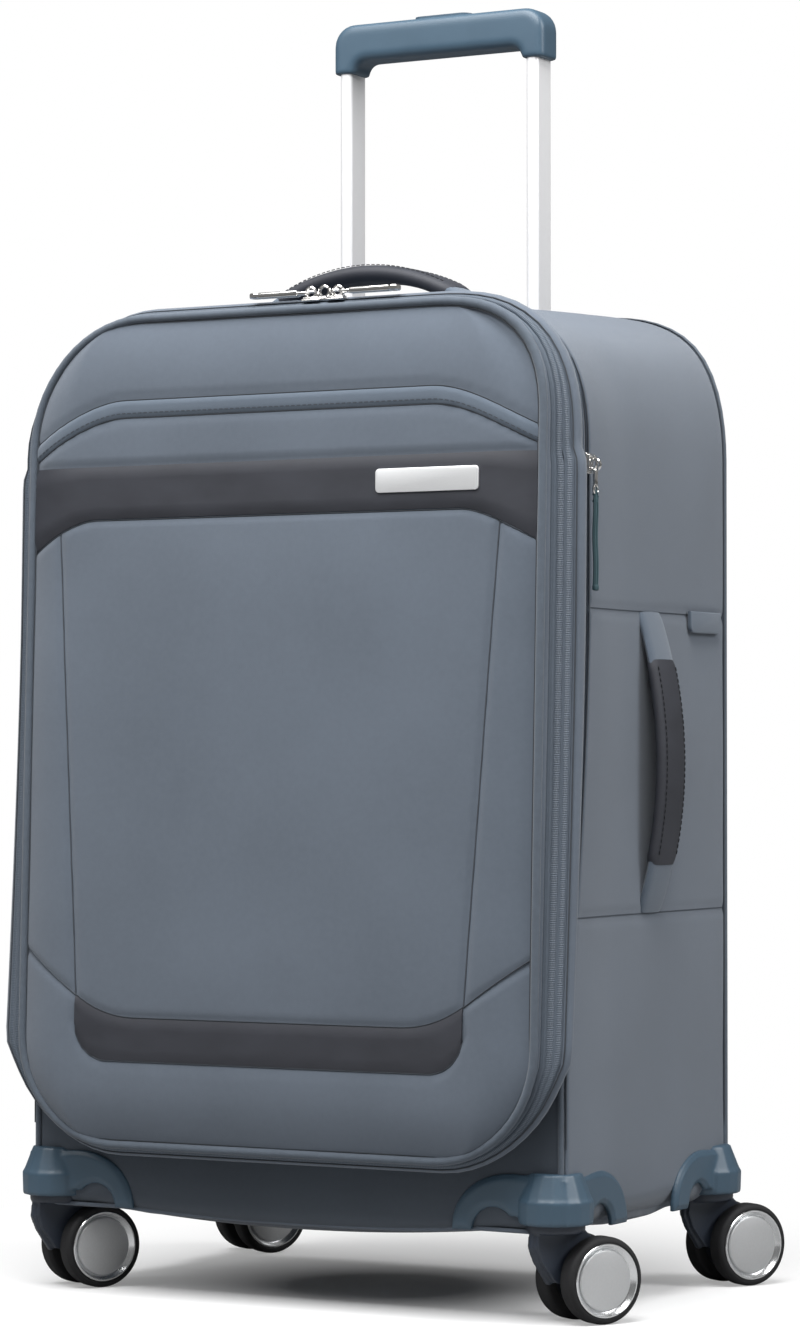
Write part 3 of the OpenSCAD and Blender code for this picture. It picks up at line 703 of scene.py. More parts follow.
def plastic(name, colour, rough=0.42, grain=0.12 * MM):
    """Satin moulded plastic with a fine spark-eroded grain and slight handling wear."""
    s = Shader(name)
    fine = s.noise(1400.0, 2.0)
    wear = s.noise(30.0, 5.0, 0.65)
    base = s.blend(wear, dark(colour, 0.86), dark(colour, 1.14))
    return s.finish(base, rough + wear * 0.14, s.bump(fine, 0.18, grain), Specular_IOR_Level=0.5)


def metal(name, colour, rough, brushed=(1, 1, 1), spread=0.12, scale=300.0, metallic=1.0):
    """Metal with fine brushing along one direction."""
    s = Shader(name)
    streaks = s.noise(scale, 3.0, 0.6, stretch=brushed)
    base = s.blend(streaks, dark(colour, 0.93), dark(colour, 1.05))
    normal = s.bump(streaks, 0.06, 0.05 * MM)
    return s.finish(base, rough + streaks * spread, normal, Metallic=metallic)


def rubber(name, colour):
    """Matt rubber with a little dust in it."""
    s = Shader(name)
    fine = s.noise(700.0, 3.0)
    dust = s.noise(60.0, 4.0, 0.6)
    base = s.blend(dust, dark(colour, 0.8), dark(colour, 1.9))
    return s.finish(base, 0.62 + dust * 0.16, s.bump(fine, 0.15, 0.15 * MM), Specular_IOR_Level=0.35)


def lined(name, colour):
    """Smooth lining cloth with a small diamond pattern woven in."""
    s = Shader(name)
    x, y, z = s.axes()
    k = 2 * math.pi / (9 * MM)
    diamonds = ((x + y + z) * k).sine() * ((x + y - z) * k).sine()
    creases = s.noise(26.0, 4.0, 0.6)
    base = s.blend(diamonds * 0.2 + creases * 0.6 + 0.1, dark(colour, 0.7), dark(colour, 1.35))
    return s.finish(base, 0.58 + creases * 0.12, s.bump(creases, 0.5, 1.6 * MM), Sheen_Weight=0.2)


def threaded(name, colour):
    """Twisted thread."""
    s = Shader(name)
    u, _, _ = s.axes("UV")
    twist = (u * (2 * math.pi / (1.6 * MM))).sine()
    base = s.blend(twist * 0.5 + 0.5, dark(colour, 0.75), dark(colour, 1.3))
    return s.finish(base, 0.7, s.bump(twist, 0.5, 0.2 * MM))


MATERIALS = {}


def make_materials(look):
    """Every finish of the suitcase, in one table of materials."""
    shade = {key: tuple(getattr(look, key)) + (1.0,) for key in ("fabric", "trim", "band", "plastic")}
    made = {
        "fabric": woven("slate_ballistic_weave", shade["fabric"]),
        "trim": woven("slate_trim_weave", shade["trim"], 0.5 * MM, 0.74, 0.06),
        # Painted shade: the toe's cloth is the fabric darkened to 0.62, for the shade under the lid's
        # overhang.
        "toe": woven("toe_weave_painted_shade", dark(shade["fabric"], 0.62), 0.7 * MM, 0.85),
        "band": banded("charcoal_band", shade["band"]),
        "piping": corded("slate_piping", dark(shade["trim"], 0.82)),
        "tape": taped("zip_tape_weave", dark(shade["trim"], 0.86)),
        "coil": coiled("zip_coil", dark(shade["trim"], 0.8)),
        # Painted shadow: the seam colour is the fabric darkened to 0.36, for dark cords laid in seam grooves
        # and along edges.
        "seam": threaded("seam_shadow_thread", dark(shade["fabric"], 0.36)),
        "stitch": threaded("stitch_thread", dark(shade["fabric"], 0.42)),
        "band_stitch": threaded("band_stitch_thread", dark(shade["band"], 0.35)),
        "plastic": plastic("steel_blue_plastic", shade["plastic"], 0.34),
        "navy": plastic("navy_plastic", (0.026, 0.034, 0.050, 1), 0.38),
        "grey_plastic": plastic("dark_grey_plastic", (0.035, 0.038, 0.045, 1), 0.5),
        "tubes": metal("anodised_tube", (0.80, 0.80, 0.81, 1), 0.42, (40, 40, 1), 0.08, metallic=0.35),
        "chrome": metal("polished_nickel", (0.83, 0.82, 0.80, 1), 0.10, spread=0.08, scale=120.0),
        "plate": metal("satin_plate", (0.86, 0.87, 0.88, 1), 0.40, (1, 1, 60), 0.10, metallic=0.7),
        "steel": metal("plain_steel", (0.55, 0.55, 0.56, 1), 0.32),
        "cap": metal("satin_cap", (0.70, 0.71, 0.72, 1), 0.42, spread=0.1, scale=700.0),
        "ring": metal("bright_cap_ring", (0.82, 0.83, 0.84, 1), 0.16),
        "tyre": rubber("tyre_rubber", (0.010, 0.010, 0.011, 1)),
        "lining": lined("lining_cloth", (0.075, 0.082, 0.095, 1)),
        "webbing": taped("black_webbing", (0.02, 0.02, 0.023, 1)),
        "cord": threaded("teal_cord", (0.028, 0.066, 0.078, 1)),
    }
    MATERIALS.update(made)


# ---- Lid ----

UPPER_BAND = {"top": 97 * MM, "height": 34 * MM}
SEAM_TOP, SEAM_FOOT = 162 * MM, 142 * MM
LOW_BAND_Z, LOW_BAND_H, LOW_BAND_HALF = LID.low + 55 * MM, 27 * MM, 142 * MM
BAND_TOP = LID.high - UPPER_BAND["top"] + 1 * MM
BAND_FOOT = BAND_TOP - UPPER_BAND["height"]
FLAP_TOP, FLAP_H = LID.high - 54 * MM, 10.5 * MM
Z_SEAM_FOOT = LOW_BAND_Z + LOW_BAND_H + 14 * MM


def drop_off(x, start, end, depth):
    """A strip's edge is flat as far as start and eases down by depth at end."""
    t = clamp((abs(x) - start) / (end - start))
    return depth * (t * t * (1.6 - 0.6 * t))


def flap_top(x):
    """Upper edge of the stitched strip at a place across the lid."""
    return FLAP_TOP - drop_off(x, 112 * MM, 186 * MM, 27 * MM)


def band_foot(x):
    """Lower edge of the upper band at a place across the lid."""
    return BAND_FOOT - drop_off(x, 132 * MM, 186 * MM, 21 * MM)


def seam_x(z):
    """Half distance between the two long seams of the front pocket, at a height."""
    t = clamp((z - Z_SEAM_FOOT) / (band_foot(0.15) - Z_SEAM_FOOT))
    return SEAM_FOOT + (SEAM_TOP - SEAM_FOOT) * t


def low_band_edges(x):
    """Lower and upper edge of the lower band at a place across it."""
    r = 24 * MM
    over = clamp((abs(x) - (LOW_BAND_HALF - r)) / r)
    foot = LOW_BAND_Z + r - math.sqrt(max(0.0, 1 - over * over)) * r
    ease = clamp((abs(x) - 96 * MM) / (LOW_BAND_HALF - 96 * MM))
    top = LOW_BAND_Z + LOW_BAND_H + 14 * MM * ease ** 2.2
    return foot, top


def seam_pull(x, z):
    """1 on a seam or under a sewn-on strip of the lid, falling to 0 a little way off it."""
    near = 4.5 * MM
    gaps = []
    if Z_SEAM_FOOT < z < band_foot(x):
        gaps.append(abs(abs(x) - seam_x(z)))
    if abs(x) > SEAM_FOOT:
        rise = (abs(x) - SEAM_FOOT) / (LID.half - SEAM_FOOT)
        gaps.append(abs(z - (Z_SEAM_FOOT + 30 * MM * rise)))
    if abs(x) < LOW_BAND_HALF + 3 * MM:
        foot, top = low_band_edges(x)
        gaps += [abs(z - foot), abs(z - top)]
        if foot < z < top:
            gaps.append(2 * MM)
    for edge in (flap_top(x), flap_top(x) - FLAP_H, BAND_TOP, band_foot(x)):
        gaps.append(abs(z - edge))
    if band_foot(x) < z < BAND_TOP or flap_top(x) - FLAP_H < z < flap_top(x):
        gaps.append(2 * MM)
    return 1 - smooth(min(gaps) / near)


def rows_between(shape, inset, count):
    """Heights of a panel's rows: close together round its corners."""
    foot, top = shape.low + inset, shape.high - inset
    r_up, r_low = shape.r_up - inset, shape.r_low - inset
    rows = [foot + r_low - r_low * math.cos(math.radians(90 * k / 12)) for k in range(12)]
    straight = top - r_up - foot - r_low
    rows += [foot + r_low + straight * k / count for k in range(count)]
    rows += [top - r_up + r_up * math.sin(math.radians(90 * k / 16)) for k in range(17)]
    return rows


def panel(name, shape, inset, y, columns, count, ahead=True):
    """A panel that fills an outline, as a grid whose rows follow its round corners."""
    heights = rows_between(shape, inset, count)
    bm = bmesh.new()
    bmesh.ops.create_grid(bm, x_segments=columns, y_segments=len(heights) - 1, size=0.5)
    inner = Outline(shape.half - inset, shape.low + inset, shape.high - inset,
                    shape.r_up - inset, shape.r_low - inset)
    for v in bm.verts:
        z = heights[round((v.co.y + 0.5) * (len(heights) - 1))]
        x = 2 * v.co.x * half_width(inner, z)
        v.co = place(x, y, z)
    bmesh.ops.recalc_face_normals(bm, faces=bm.faces)
    bm.faces.ensure_lookup_table()
    if (bm.faces[0].normal.y > 0) == ahead:
        bmesh.ops.reverse_faces(bm, faces=bm.faces)
    mesh = bpy.data.meshes.new(name)
    bm.to_mesh(mesh)
    bm.free()
    return link(name, mesh)


def close_behind(piece, depth):
    """Folds a panel's edge back and closes it, so that it is a solid pad."""
    bm = bmesh.new()
    bm.from_mesh(piece.data)
    rim = [e for e in bm.edges if e.is_boundary]
    made = bmesh.ops.extrude_edge_only(bm, edges=rim)["geom"]
    back = [g for g in made if isinstance(g, bmesh.types.BMVert)]
    bmesh.ops.translate(bm, vec=(0, depth, 0), verts=back)
    rim = [e for e in bm.edges if e.is_boundary]
    bmesh.ops.contextual_create(bm, geom=rim)
    bmesh.ops.recalc_face_normals(bm, faces=bm.faces)
    bm.to_mesh(piece.data)
    bm.free()
    piece.data.shade_smooth()
    piece.data.set_sharp_from_angle(angle=math.radians(60))
    return piece


PILLOW, PILLOW_REACH = 8 * MM, 52 * MM
GROOVE, WRINKLE = 1.4 * MM, 0.5 * MM


def make_lid_panel(sizes):
    """The padded front, blown up by simulation between its seams, with the seams drawn in after."""
    edge = 2.0 * MM
    skin = panel("lid_front_panel", LID, edge, Y_FRONT + 1 * MM, 84, 76)

    def held(co):
        rim = min(LID.high - edge - co.z, co.z - LID.low - edge,
                  half_width(LID, co.z) - edge - abs(co.x))
        return max(1 - smooth(rim / (4 * MM)), 0.9 * seam_pull(co.x, co.z))

    inflate(skin, held, sizes.lid_rise, sizes.pressure)
    refined(skin)
    for v in skin.data.vertices:
        rim = min(LID.high - edge - v.co.z, (v.co.z - LID.low - edge) * 1.3,
                  (half_width(LID, v.co.z) - edge - abs(v.co.x)) * 1.5)
        v.co.y -= PILLOW * (1 - (1 - clamp(rim / PILLOW_REACH)) ** 2.2)
        v.co.y += GROOVE * seam_pull(v.co.x, v.co.z)
        v.co.y -= WRINKLE * noise.noise(v.co * 14.0)
    graph = bpy.context.evaluated_depsgraph_get()
    SURFACES["lid"] = BVHTree.FromObject(skin, graph)
    close_behind(skin, 5 * MM)
    dress(skin, MATERIALS["fabric"], "lid", ["lid_panel"])
    return skin


def on_lid(x, z, lift=0.0):
    """A point on the lid's padded face, lifted off it."""
    hit = SURFACES["lid"].ray_cast(Vector((x, -1.0, z)), Vector((0, 1, 0)))[0]
    y = hit.y if hit is not None else place(x, Y_FRONT, z).y
    return Vector((x, y - lift, z))


def applique_rings(columns, thick, rows=5, edge=0.9 * MM):
    """Rings across a sewn-on strip, from its foot over its face and back underneath."""
    rings = []
    for x, z0, z1 in columns:
        height = z1 - z0
        ring = [on_lid(x, z0, -0.8 * MM)]
        for k in range(rows + 1):
            t = k / rows
            fall = min(t, 1 - t) * height
            lift = thick * math.sqrt(clamp(fall / edge + 0.12))
            ring.append(on_lid(x, z0 + height * t, lift))
        ring.append(on_lid(x, z1, -0.8 * MM))
        rings.append(ring)
    return rings


def applique(name, columns, thick, rows=6):
    """A strip of cloth or leather laid on the lid's face, from columns of (x, lower z, upper z)."""
    bm = bmesh.new()
    last = loft(bm, applique_rings(columns, thick, rows))
    ends = {v for v in bm.verts if any(e.is_boundary for e in v.link_edges)}
    for group in (set(last), ends - set(last)):
        rim = [e for e in bm.edges if e.is_boundary and set(e.verts) <= group]
        bmesh.ops.contextual_create(bm, geom=rim)
    return to_piece(name, bm, 50)


def across(half, step):
    """Even steps from -half to half, about a step apart."""
    count = int(2 * half / step)
    return [-half + 2 * half * k / count for k in range(count + 1)]


def stitch_row(bm, points, length=2.6 * MM, gap=1.5 * MM, width=0.55 * MM):
    """Single stitches laid along a path of points."""
    travelled, due = 0.0, 0.0
    for a, b in zip(points, points[1:]):
        step = (b - a).length
        while due <= travelled + step and step > 0:
            t = (due - travelled) / step
            centre = a.lerp(b, t)
            direction = (b - a).normalized()
            turn = direction.to_track_quat("X", "Z").to_matrix().to_4x4()
            size = Matrix.Diagonal((length, width, width, 1))
            bmesh.ops.create_cube(bm, size=1, matrix=Matrix.Translation(centre) @ turn @ size)
            due += length + gap
        travelled += step


def make_seams(name, paths, radius, material, body):
    """Thin cords in the grooves of several seams or along edges, as one piece; in the seam colour they are
    painted shadow lines.
    """
    bm = bmesh.new()
    for path in paths:
        absorb(bm, tube("part", path, radius, 6))
    return dress(to_piece(name, bm, 80), material, body)


def make_lid_trims():
    """Stitched strip, upper and lower bands, painted seam shadows, stitches and the blank plate on the lid.
    """
    half = LID.half - 3.2 * MM
    strip = [(x, flap_top(x) - FLAP_H, flap_top(x)) for x in across(half, 4 * MM)]
    dress(applique("pocket_flap_strip", strip, 1.5 * MM), MATERIALS["trim"], "lid",
          ["pocket_flap"])
    band = [(x, band_foot(x), BAND_TOP) for x in across(half, 4 * MM)]
    dress(applique("upper_trim_band", band, 2.0 * MM, 8), MATERIALS["band"], "lid",
          ["upper_band"])
    turns = [math.radians(-90 + 180 * k / 110) for k in range(111)]
    low_half = LOW_BAND_HALF - 0.2 * MM
    lower = [(low_half * math.sin(a), *low_band_edges(low_half * math.sin(a))) for a in turns]
    dress(applique("lower_trim_band", lower, 1.4 * MM, 7), MATERIALS["band"], "lid",
          ["lower_band"])
    # Painted shadow lines: dark cords in the grooves of the pocket's seams.
    seams = []
    for side in (LEFT, RIGHT):
        top = band_foot(side * SEAM_TOP) - 1 * MM
        heights = [Z_SEAM_FOOT + (top - Z_SEAM_FOOT) * k / 60 for k in range(61)]
        seams.append([on_lid(side * seam_x(z), z, 0.1 * MM) for z in heights])
        spread = [k / 12 for k in range(13)]
        seams.append([
            on_lid(side * (SEAM_FOOT + (half - SEAM_FOOT) * t), Z_SEAM_FOOT + 30 * MM * t, 0.1 * MM)
            for t in spread
        ])
    make_seams("lid_seam_painted_shadows", seams, 0.45 * MM, MATERIALS["seam"], "lid")
    # Painted shadow lines: dark cords under the upper band and below and above the stitched strip.
    shadow = [[on_lid(x, band_foot(x) - 0.9 * MM, 0.0) for x in across(half, 4 * MM)]]
    shadow.append([on_lid(x, flap_top(x) - FLAP_H - 0.6 * MM, 0.0) for x in across(half, 4 * MM)])
    shadow.append([on_lid(x, flap_top(x) + 0.5 * MM, 0.0) for x in across(half, 4 * MM)])
    # Painted shadow lines along the lower band's lower and upper edges.
    edges = [[], []]
    for a in turns[2:-2]:
        x = low_half * math.sin(a)
        foot, top = low_band_edges(x)
        edges[0].append(on_lid(x, foot - 0.5 * MM, 0.1 * MM))
        edges[1].append(on_lid(x, top + 0.5 * MM, 0.1 * MM))
    make_seams("strip_edge_painted_shadows", shadow + edges, 0.45 * MM, MATERIALS["seam"], "lid")
    bm = bmesh.new()
    row = [on_lid(x, flap_top(x) - FLAP_H + 2.4 * MM, 1.45 * MM) for x in across(half, 2 * MM)]
    stitch_row(bm, row)
    dress(to_piece("strip_stitches", bm), MATERIALS["stitch"], "lid")
    make_plate()


def make_plate():
    """Blank plate with bevelled edges, on the upper band."""
    low_corner, high_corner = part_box("name_plate")
    centre = (low_corner + high_corner) / 2
    w, h, t = high_corner.x - low_corner.x, high_corner.z - low_corner.z, 1.8 * MM
    r = 2.6 * MM
    corners = ((w / 2 - r, r - h / 2, -90), (w / 2 - r, h / 2 - r, 0),
               (r - w / 2, h / 2 - r, 90), (r - w / 2, r - h / 2, 180))
    points = [p for cx, cz, turn in corners for p in arc(cx, cz, r, turn, turn + 90, 6)]
    face = on_lid(centre.x, centre.z, 2.0 * MM)
    ends = [on_lid(centre.x + s * w / 2, centre.z, 2.0 * MM) for s in (-1, 1)]
    skew = math.atan2(ends[1].y - ends[0].y, w)
    turn = Matrix.Translation(face - Vector((0, t - 0.4 * MM, 0))) @ Matrix.Rotation(skew, 4, "Z")
    plate = plate_part(points, t, 0.5 * MM, 3, turn)
    plate.name = plate.data.name = "blank_name_plate"
    dress(plate, MATERIALS["plate"], "lid", ["name_plate"])


def make_lid_frame():
    """Gusset, piping and zipper tape round the lid, and its cloth-covered inside."""
    gusset = slab_profile(Y_FRONT + 2 * MM, Y_LID, 0.8 * MM, 3 * MM, 0.8 * MM)
    dress(hoop("lid_gusset_cloth", LID, gusset), MATERIALS["fabric"], "lid",
          ["lid_gusset"])
    piping = cord_profile(0.4 * MM, Y_FRONT + 0.4 * MM, 2.7 * MM, 12)
    dress(hoop("lid_edge_piping", LID, piping), MATERIALS["piping"], "lid", ["lid_piping"])
    tape = slab_profile(Y_LID, Y_MAIN_SEAM, 0.4 * MM, 2 * MM, 0.2 * MM)
    dress(hoop("lid_zipper_tape", LID, tape), MATERIALS["tape"], "lid", ["lid_zip_tape"])
    coil = cord_profile(-0.6 * MM, Y_MAIN_SEAM - 0.5 * MM, 1.15 * MM, 10)
    dress(hoop("lid_zipper_coil", LID, coil), MATERIALS["coil"], "lid")
    # Painted shadow lines: dark cords along both edges of the lid's piping.
    seams = []
    for inset, y in ((-0.1 * MM, Y_FRONT + 3.4 * MM), (3.6 * MM, Y_FRONT + 0.1 * MM)):
        loop = [place(x, y, z) for x, z in outline_points(LID, inset)]
        seams.append(loop + loop[:2])
    make_seams("lid_edge_painted_shadows", seams, 0.45 * MM, MATERIALS["seam"], "lid")


# ---- Expander ----

def make_expander():
    """Zipper tapes, coils and the strip between the two zippers, and the cloth that folds out."""
    rear = slab_profile(Y_SEAM, Y_SPLIT - 0.5 * MM, 0.2 * MM, 2 * MM, 0.5 * MM)
    dress(hoop("expander_rear_tape", RING, rear), MATERIALS["tape"], "case",
          ["expander_zip_rear"])
    front = slab_profile(Y_STRIP, Y_SEAM - 0.3 * MM, 0.2 * MM, 2 * MM, 0.3 * MM)
    dress(hoop("expander_front_tape", RING, front), MATERIALS["tape"], "expander",
          ["expander_zip_tapes"])
    strip = slab_profile(Y_MAIN, Y_STRIP - 0.4 * MM, 0.0, 3 * MM, 1.6 * MM)
    dress(hoop("expander_cloth_strip", RING, strip), MATERIALS["fabric"], "expander",
          ["expander_strip"])
    main = slab_profile(Y_MAIN_SEAM + 0.3 * MM, Y_MAIN - 0.3 * MM, 0.8 * MM, 2 * MM, 0.2 * MM)
    dress(hoop("main_zipper_tape", RING, main), MATERIALS["tape"], "expander")
    for name, y, body, inset, radius in (
        ("expander_rear_coil", Y_SEAM + 1.0 * MM, "case", -0.1 * MM, 1.1 * MM),
        ("expander_front_coil", Y_SEAM - 1.1 * MM, "expander", -0.1 * MM, 1.1 * MM),
        ("main_zipper_coil", Y_MAIN_SEAM + 1.1 * MM, "expander", 0.8 * MM, 0.9 * MM),
    ):
        coil = cord_profile(inset, y, radius, 8)
        dress(hoop(name, RING, coil), MATERIALS["coil"], body)
    # Painted shadow lines: dark cords along the strip's two edges and between the strip and the expander
    # zipper.
    seam_loops = []
    for y in (Y_STRIP - 0.2 * MM, Y_MAIN - 0.1 * MM, (Y_STRIP + Y_SEAM) / 2):
        loop = [place(x, y, z) for x, z in outline_points(RING, 0.0)]
        seam_loops.append(loop + loop[:2])
    make_seams("expander_seam_painted_shadows", seam_loops, 0.45 * MM, MATERIALS["seam"], "expander")
    inner, thick, reach, steps = 3.4 * MM, 1.6 * MM, 15 * MM, 14
    depths = [Y_SPLIT - 2 * MM - reach * k / steps for k in range(steps + 1)]
    fold = [(inner, y) for y in depths] + [(inner + thick, y) for y in reversed(depths)]
    sleeve = hoop("expander_fold_cloth", RING, fold)
    sleeve.data.materials.append(MATERIALS["fabric"])
    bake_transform(sleeve)
    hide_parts("expander_sleeve")


# ---- Body ----

def make_body(sizes):
    """Side panels, top and foot as one padded wrap, blown up between its seams."""
    edge_rows = [(3.0 * MM, Y_SPLIT + 0.5 * MM), (0.8 * MM, Y_SPLIT), (0.0, Y_SPLIT + 1.5 * MM)]
    steps = 26
    y_end = Y_BACK - 1.5 * MM
    inner_rows = [(0.0, Y_SPLIT + 3 * MM + (y_end - Y_SPLIT - 3 * MM) * k / steps) for k in range(steps + 1)]
    rows = edge_rows + inner_rows + [(2.0 * MM, Y_BACK - 0.5 * MM), (5 * MM, Y_BACK - 0.5 * MM)]
    rings = [[place(x, y, z) for x, z in outline_points(SHELL, inset)] for inset, y in rows]
    bm = bmesh.new()
    loft(bm, rings)
    bmesh.ops.recalc_face_normals(bm, faces=bm.faces)
    wrap = to_piece("shell_side_wrap", bm)
    middle = max(wrap.data.polygons, key=lambda p: abs(p.normal.x) * p.area)
    if middle.normal.x * middle.center.x < 0:
        wrap.data.flip_normals()

    def seam_near(co):
        if abs(co.x) < SHELL.half - 12 * MM:
            return 0.0
        return max(1 - smooth(abs(co.z - z) / (9 * MM)) for z in SIDE_SEAMS)

    def held(co):
        front = place(co.x, Y_SPLIT, co.z).y
        rim = min(co.y - front, Y_BACK - co.y)
        return max(1 - smooth(rim / (7 * MM)), 0.95 * seam_near(co))

    inflate(wrap, held, sizes.side_rise, sizes.pressure)
    refined(wrap)
    for v in wrap.data.vertices:
        co = v.co
        if abs(co.x) > SHELL.half - 8 * MM:
            groove = max(1 - smooth(abs(co.z - z) / (3.5 * MM)) for z in SIDE_SEAMS)
            co.x -= math.copysign(1.1 * MM * groove, co.x)
        if co.z < SHELL.low + 3 * MM:
            along = clamp(1 - (co.x / (SHELL.half - 40 * MM)) ** 2)
            across_y = clamp(1 - ((co.y - (Y_BACK + Y_TOE) / 2) / (100 * MM)) ** 2)
            off = min(math.hypot(co.x - x, co.y - y) for x, y in SWIVELS)
            clear = smooth((off - 50 * MM) / (30 * MM))
            co.z -= (4 * MM * along + 3 * MM * across_y * (1 - along)) * clear
        co += Vector((noise.noise(co * 11.0), 0, noise.noise(co * 11.0 + Vector((5, 0, 0))))) * 0.5 * MM
    open_at_bezel(wrap)
    wall = wrap.modifiers.new("wall", "SOLIDIFY")
    wall.thickness, wall.offset = 2.2 * MM, -1
    dress(wrap, MATERIALS["fabric"], "case", ["body_shell"])
    SURFACES["wrap"] = BVHTree.FromObject(wrap, bpy.context.evaluated_depsgraph_get())
    make_toe()
    make_body_seams()


def open_at_bezel(wrap):
    """Cuts the cloth away under the pull handle's bezel, so that the tubes pass through."""
    bm = bmesh.new()
    bm.from_mesh(wrap.data)
    margin = 5 * MM
    spots = ((f, f.calc_center_median()) for f in bm.faces)
    inside = [f for f, c in spots if c.z > SHELL.high - 30 * MM
              and BEZEL[0].x + margin < c.x < BEZEL[1].x - margin
              and BEZEL[0].y + margin < c.y < BEZEL[1].y - margin]
    bmesh.ops.delete(bm, geom=inside, context="FACES")
    bm.to_mesh(wrap.data)
    bm.free()


def toe_top(x):
    """Upper edge of the toe panel, which follows the lid's round lower corners."""
    over = clamp((abs(x) - (RING.half - RING.r_low)) / RING.r_low)
    return min(RING.low + RING.r_low * (1 - math.sqrt(max(0.0, 1 - over * over))), SHELL.low + TOE_CORNER)


def make_toe():
    """Panel below the lid, rolled under the body's lower edge, in a darker cloth that paints the shade under
    the lid's overhang.
    """
    bm = bmesh.new()
    columns, rows = 96, 16
    bmesh.ops.create_grid(bm, x_segments=columns, y_segments=rows, size=0.5)
    half = SHELL.half - 0.8 * MM
    roll = 9 * MM
    for v in bm.verts:
        x = 2 * v.co.x * half
        t = v.co.y + 0.5
        sag = 8 * MM * clamp(1 - (x / (SHELL.half - 45 * MM)) ** 2)
        foot = SHELL.low - sag
        if t < 0.25:
            turn = math.radians(90 * t / 0.25)
            y, z = roll * (1 - math.sin(turn)), foot + roll * (1 - math.cos(turn))
        else:
            y = 0.0
            z = foot + roll + (toe_top(x) + 2 * MM - foot - roll) * (t - 0.25) / 0.75
        bulge = 2.5 * MM * math.sin(math.pi * clamp(t)) * clamp(1 - (x / half) ** 6)
        v.co = Vector((x, Y_TOE + 1 * MM + y - bulge, z))
        v.co.y -= 0.8 * MM * noise.noise(v.co * 16.0)
    bmesh.ops.recalc_face_normals(bm, faces=bm.faces)
    bm.faces.ensure_lookup_table()
    if max(bm.faces, key=lambda f: abs(f.normal.y)).normal.y > 0:
        bmesh.ops.reverse_faces(bm, faces=bm.faces)
    mesh = bpy.data.meshes.new("toe_panel")
    bm.to_mesh(mesh)
    bm.free()
    toe = link("toe_panel", mesh)
    mesh.shade_smooth()
    wall = toe.modifiers.new("wall", "SOLIDIFY")
    wall.thickness, wall.offset = 2 * MM, -1
    dress(toe, MATERIALS["toe"], "case")


def make_body_seams():
    """Pipings at the back and down the front corners, and dark cords painted as shadow in the seams across
    the sides and along the shell's edges.
    """
    rear = cord_profile(1.2 * MM, Y_BACK + 0.3 * MM, 2.3 * MM, 12)
    dress(hoop("rear_edge_piping", SHELL, rear), MATERIALS["piping"], "case", ["shell_piping"])
    corner_paths, seam_paths = [], []
    for side in (LEFT, RIGHT):
        x = side * (SHELL.half - 1.4 * MM)
        tops = [SHELL.low + 30 * MM + 66 * MM * k / 24 for k in range(25)]
        corner_paths.append([(x, Y_TOE + 0.2 * MM, z) for z in tops])
        for z in SIDE_SEAMS:
            path = []
            for k in range(60):
                y = Y_SPLIT + 1 * MM + (Y_BACK - Y_SPLIT - 3 * MM) * k / 59
                spot = place(side * SHELL.half, y, z)
                hit = SURFACES["wrap"].ray_cast(Vector((side, spot.y, z)), Vector((-side, 0, 0)))[0]
                path.append(Vector((hit.x if hit else spot.x, spot.y, z)))
            seam_paths.append(path)
    make_seams("toe_corner_piping", corner_paths, 2.1 * MM, MATERIALS["piping"], "case")
    make_seams("side_seam_painted_shadows", seam_paths, 0.4 * MM, MATERIALS["seam"], "case")
    edges = []
    for shape, inset, y in ((SHELL, 0.6 * MM, Y_SPLIT - 0.3 * MM), (SHELL, -0.4 * MM, Y_BACK - 2.2 * MM)):
        rim = [(x, z) for x, z in outline_points(shape, inset) if z > SHELL.low + 45 * MM]
        edges.append([place(x, y, z) for x, z in rim])
    make_seams("shell_edge_painted_shadows", edges, 0.5 * MM, MATERIALS["seam"], "case")


BACK_CHANNEL, BACK_FOOT = 62 * MM, SHELL.low + 60 * MM


def make_back(sizes):
    """Padded back panel with two sewn channels; dark cords paint the shadow in their seams and in the seam
    across its foot.
    """
    skin = panel("back_cover", SHELL, 2.5 * MM, Y_BACK - 0.5 * MM, 60, 60, ahead=False)
    channels = (-BACK_CHANNEL, BACK_CHANNEL)

    def channel_near(co):
        if co.z < BACK_FOOT:
            return 0.0
        return max(1 - smooth(abs(co.x - x) / (6 * MM)) for x in channels)

    def held(co):
        rim = min(SHELL.high - co.z, co.z - SHELL.low, half_width(SHELL, co.z) - abs(co.x)) - 2.5 * MM
        band = 1 - smooth(abs(co.z - BACK_FOOT) / (6 * MM))
        return max(1 - smooth(rim / (8 * MM)), 0.9 * channel_near(co), 0.9 * band)

    inflate(skin, held, sizes.back_rise, sizes.pressure)
    refined(skin)
    close_behind(skin, -3 * MM)
    dress(skin, MATERIALS["fabric"], "case", ["back_panel"])
    tree = BVHTree.FromObject(skin, bpy.context.evaluated_depsgraph_get())
    paths = []
    for x in channels:
        spots = [SHELL.low + 61 * MM + (SHELL.high - SHELL.low - 66 * MM) * k / 70 for k in range(71)]
        hits = [tree.ray_cast(Vector((x, 1, z)), Vector((0, -1, 0)))[0] for z in spots]
        paths.append([h for h in hits if h is not None])
    z = BACK_FOOT
    spots = across(SHELL.half - 4 * MM, 5 * MM)
    hits = [tree.ray_cast(Vector((x, 1, z)), Vector((0, -1, 0)))[0] for x in spots]
    paths.append([h for h in hits if h is not None])
    make_seams("back_seam_painted_shadows", paths, 0.55 * MM, MATERIALS["seam"], "case")


# ---- Carry handles ----

def arch_point(t, half, rise):
    """Place along an arched handle, t from -1 to 1: (along, height)."""
    radius = (half * half + rise * rise) / (2 * rise)
    along = half * t
    return along, math.sqrt(radius * radius - along * along) - (radius - rise)


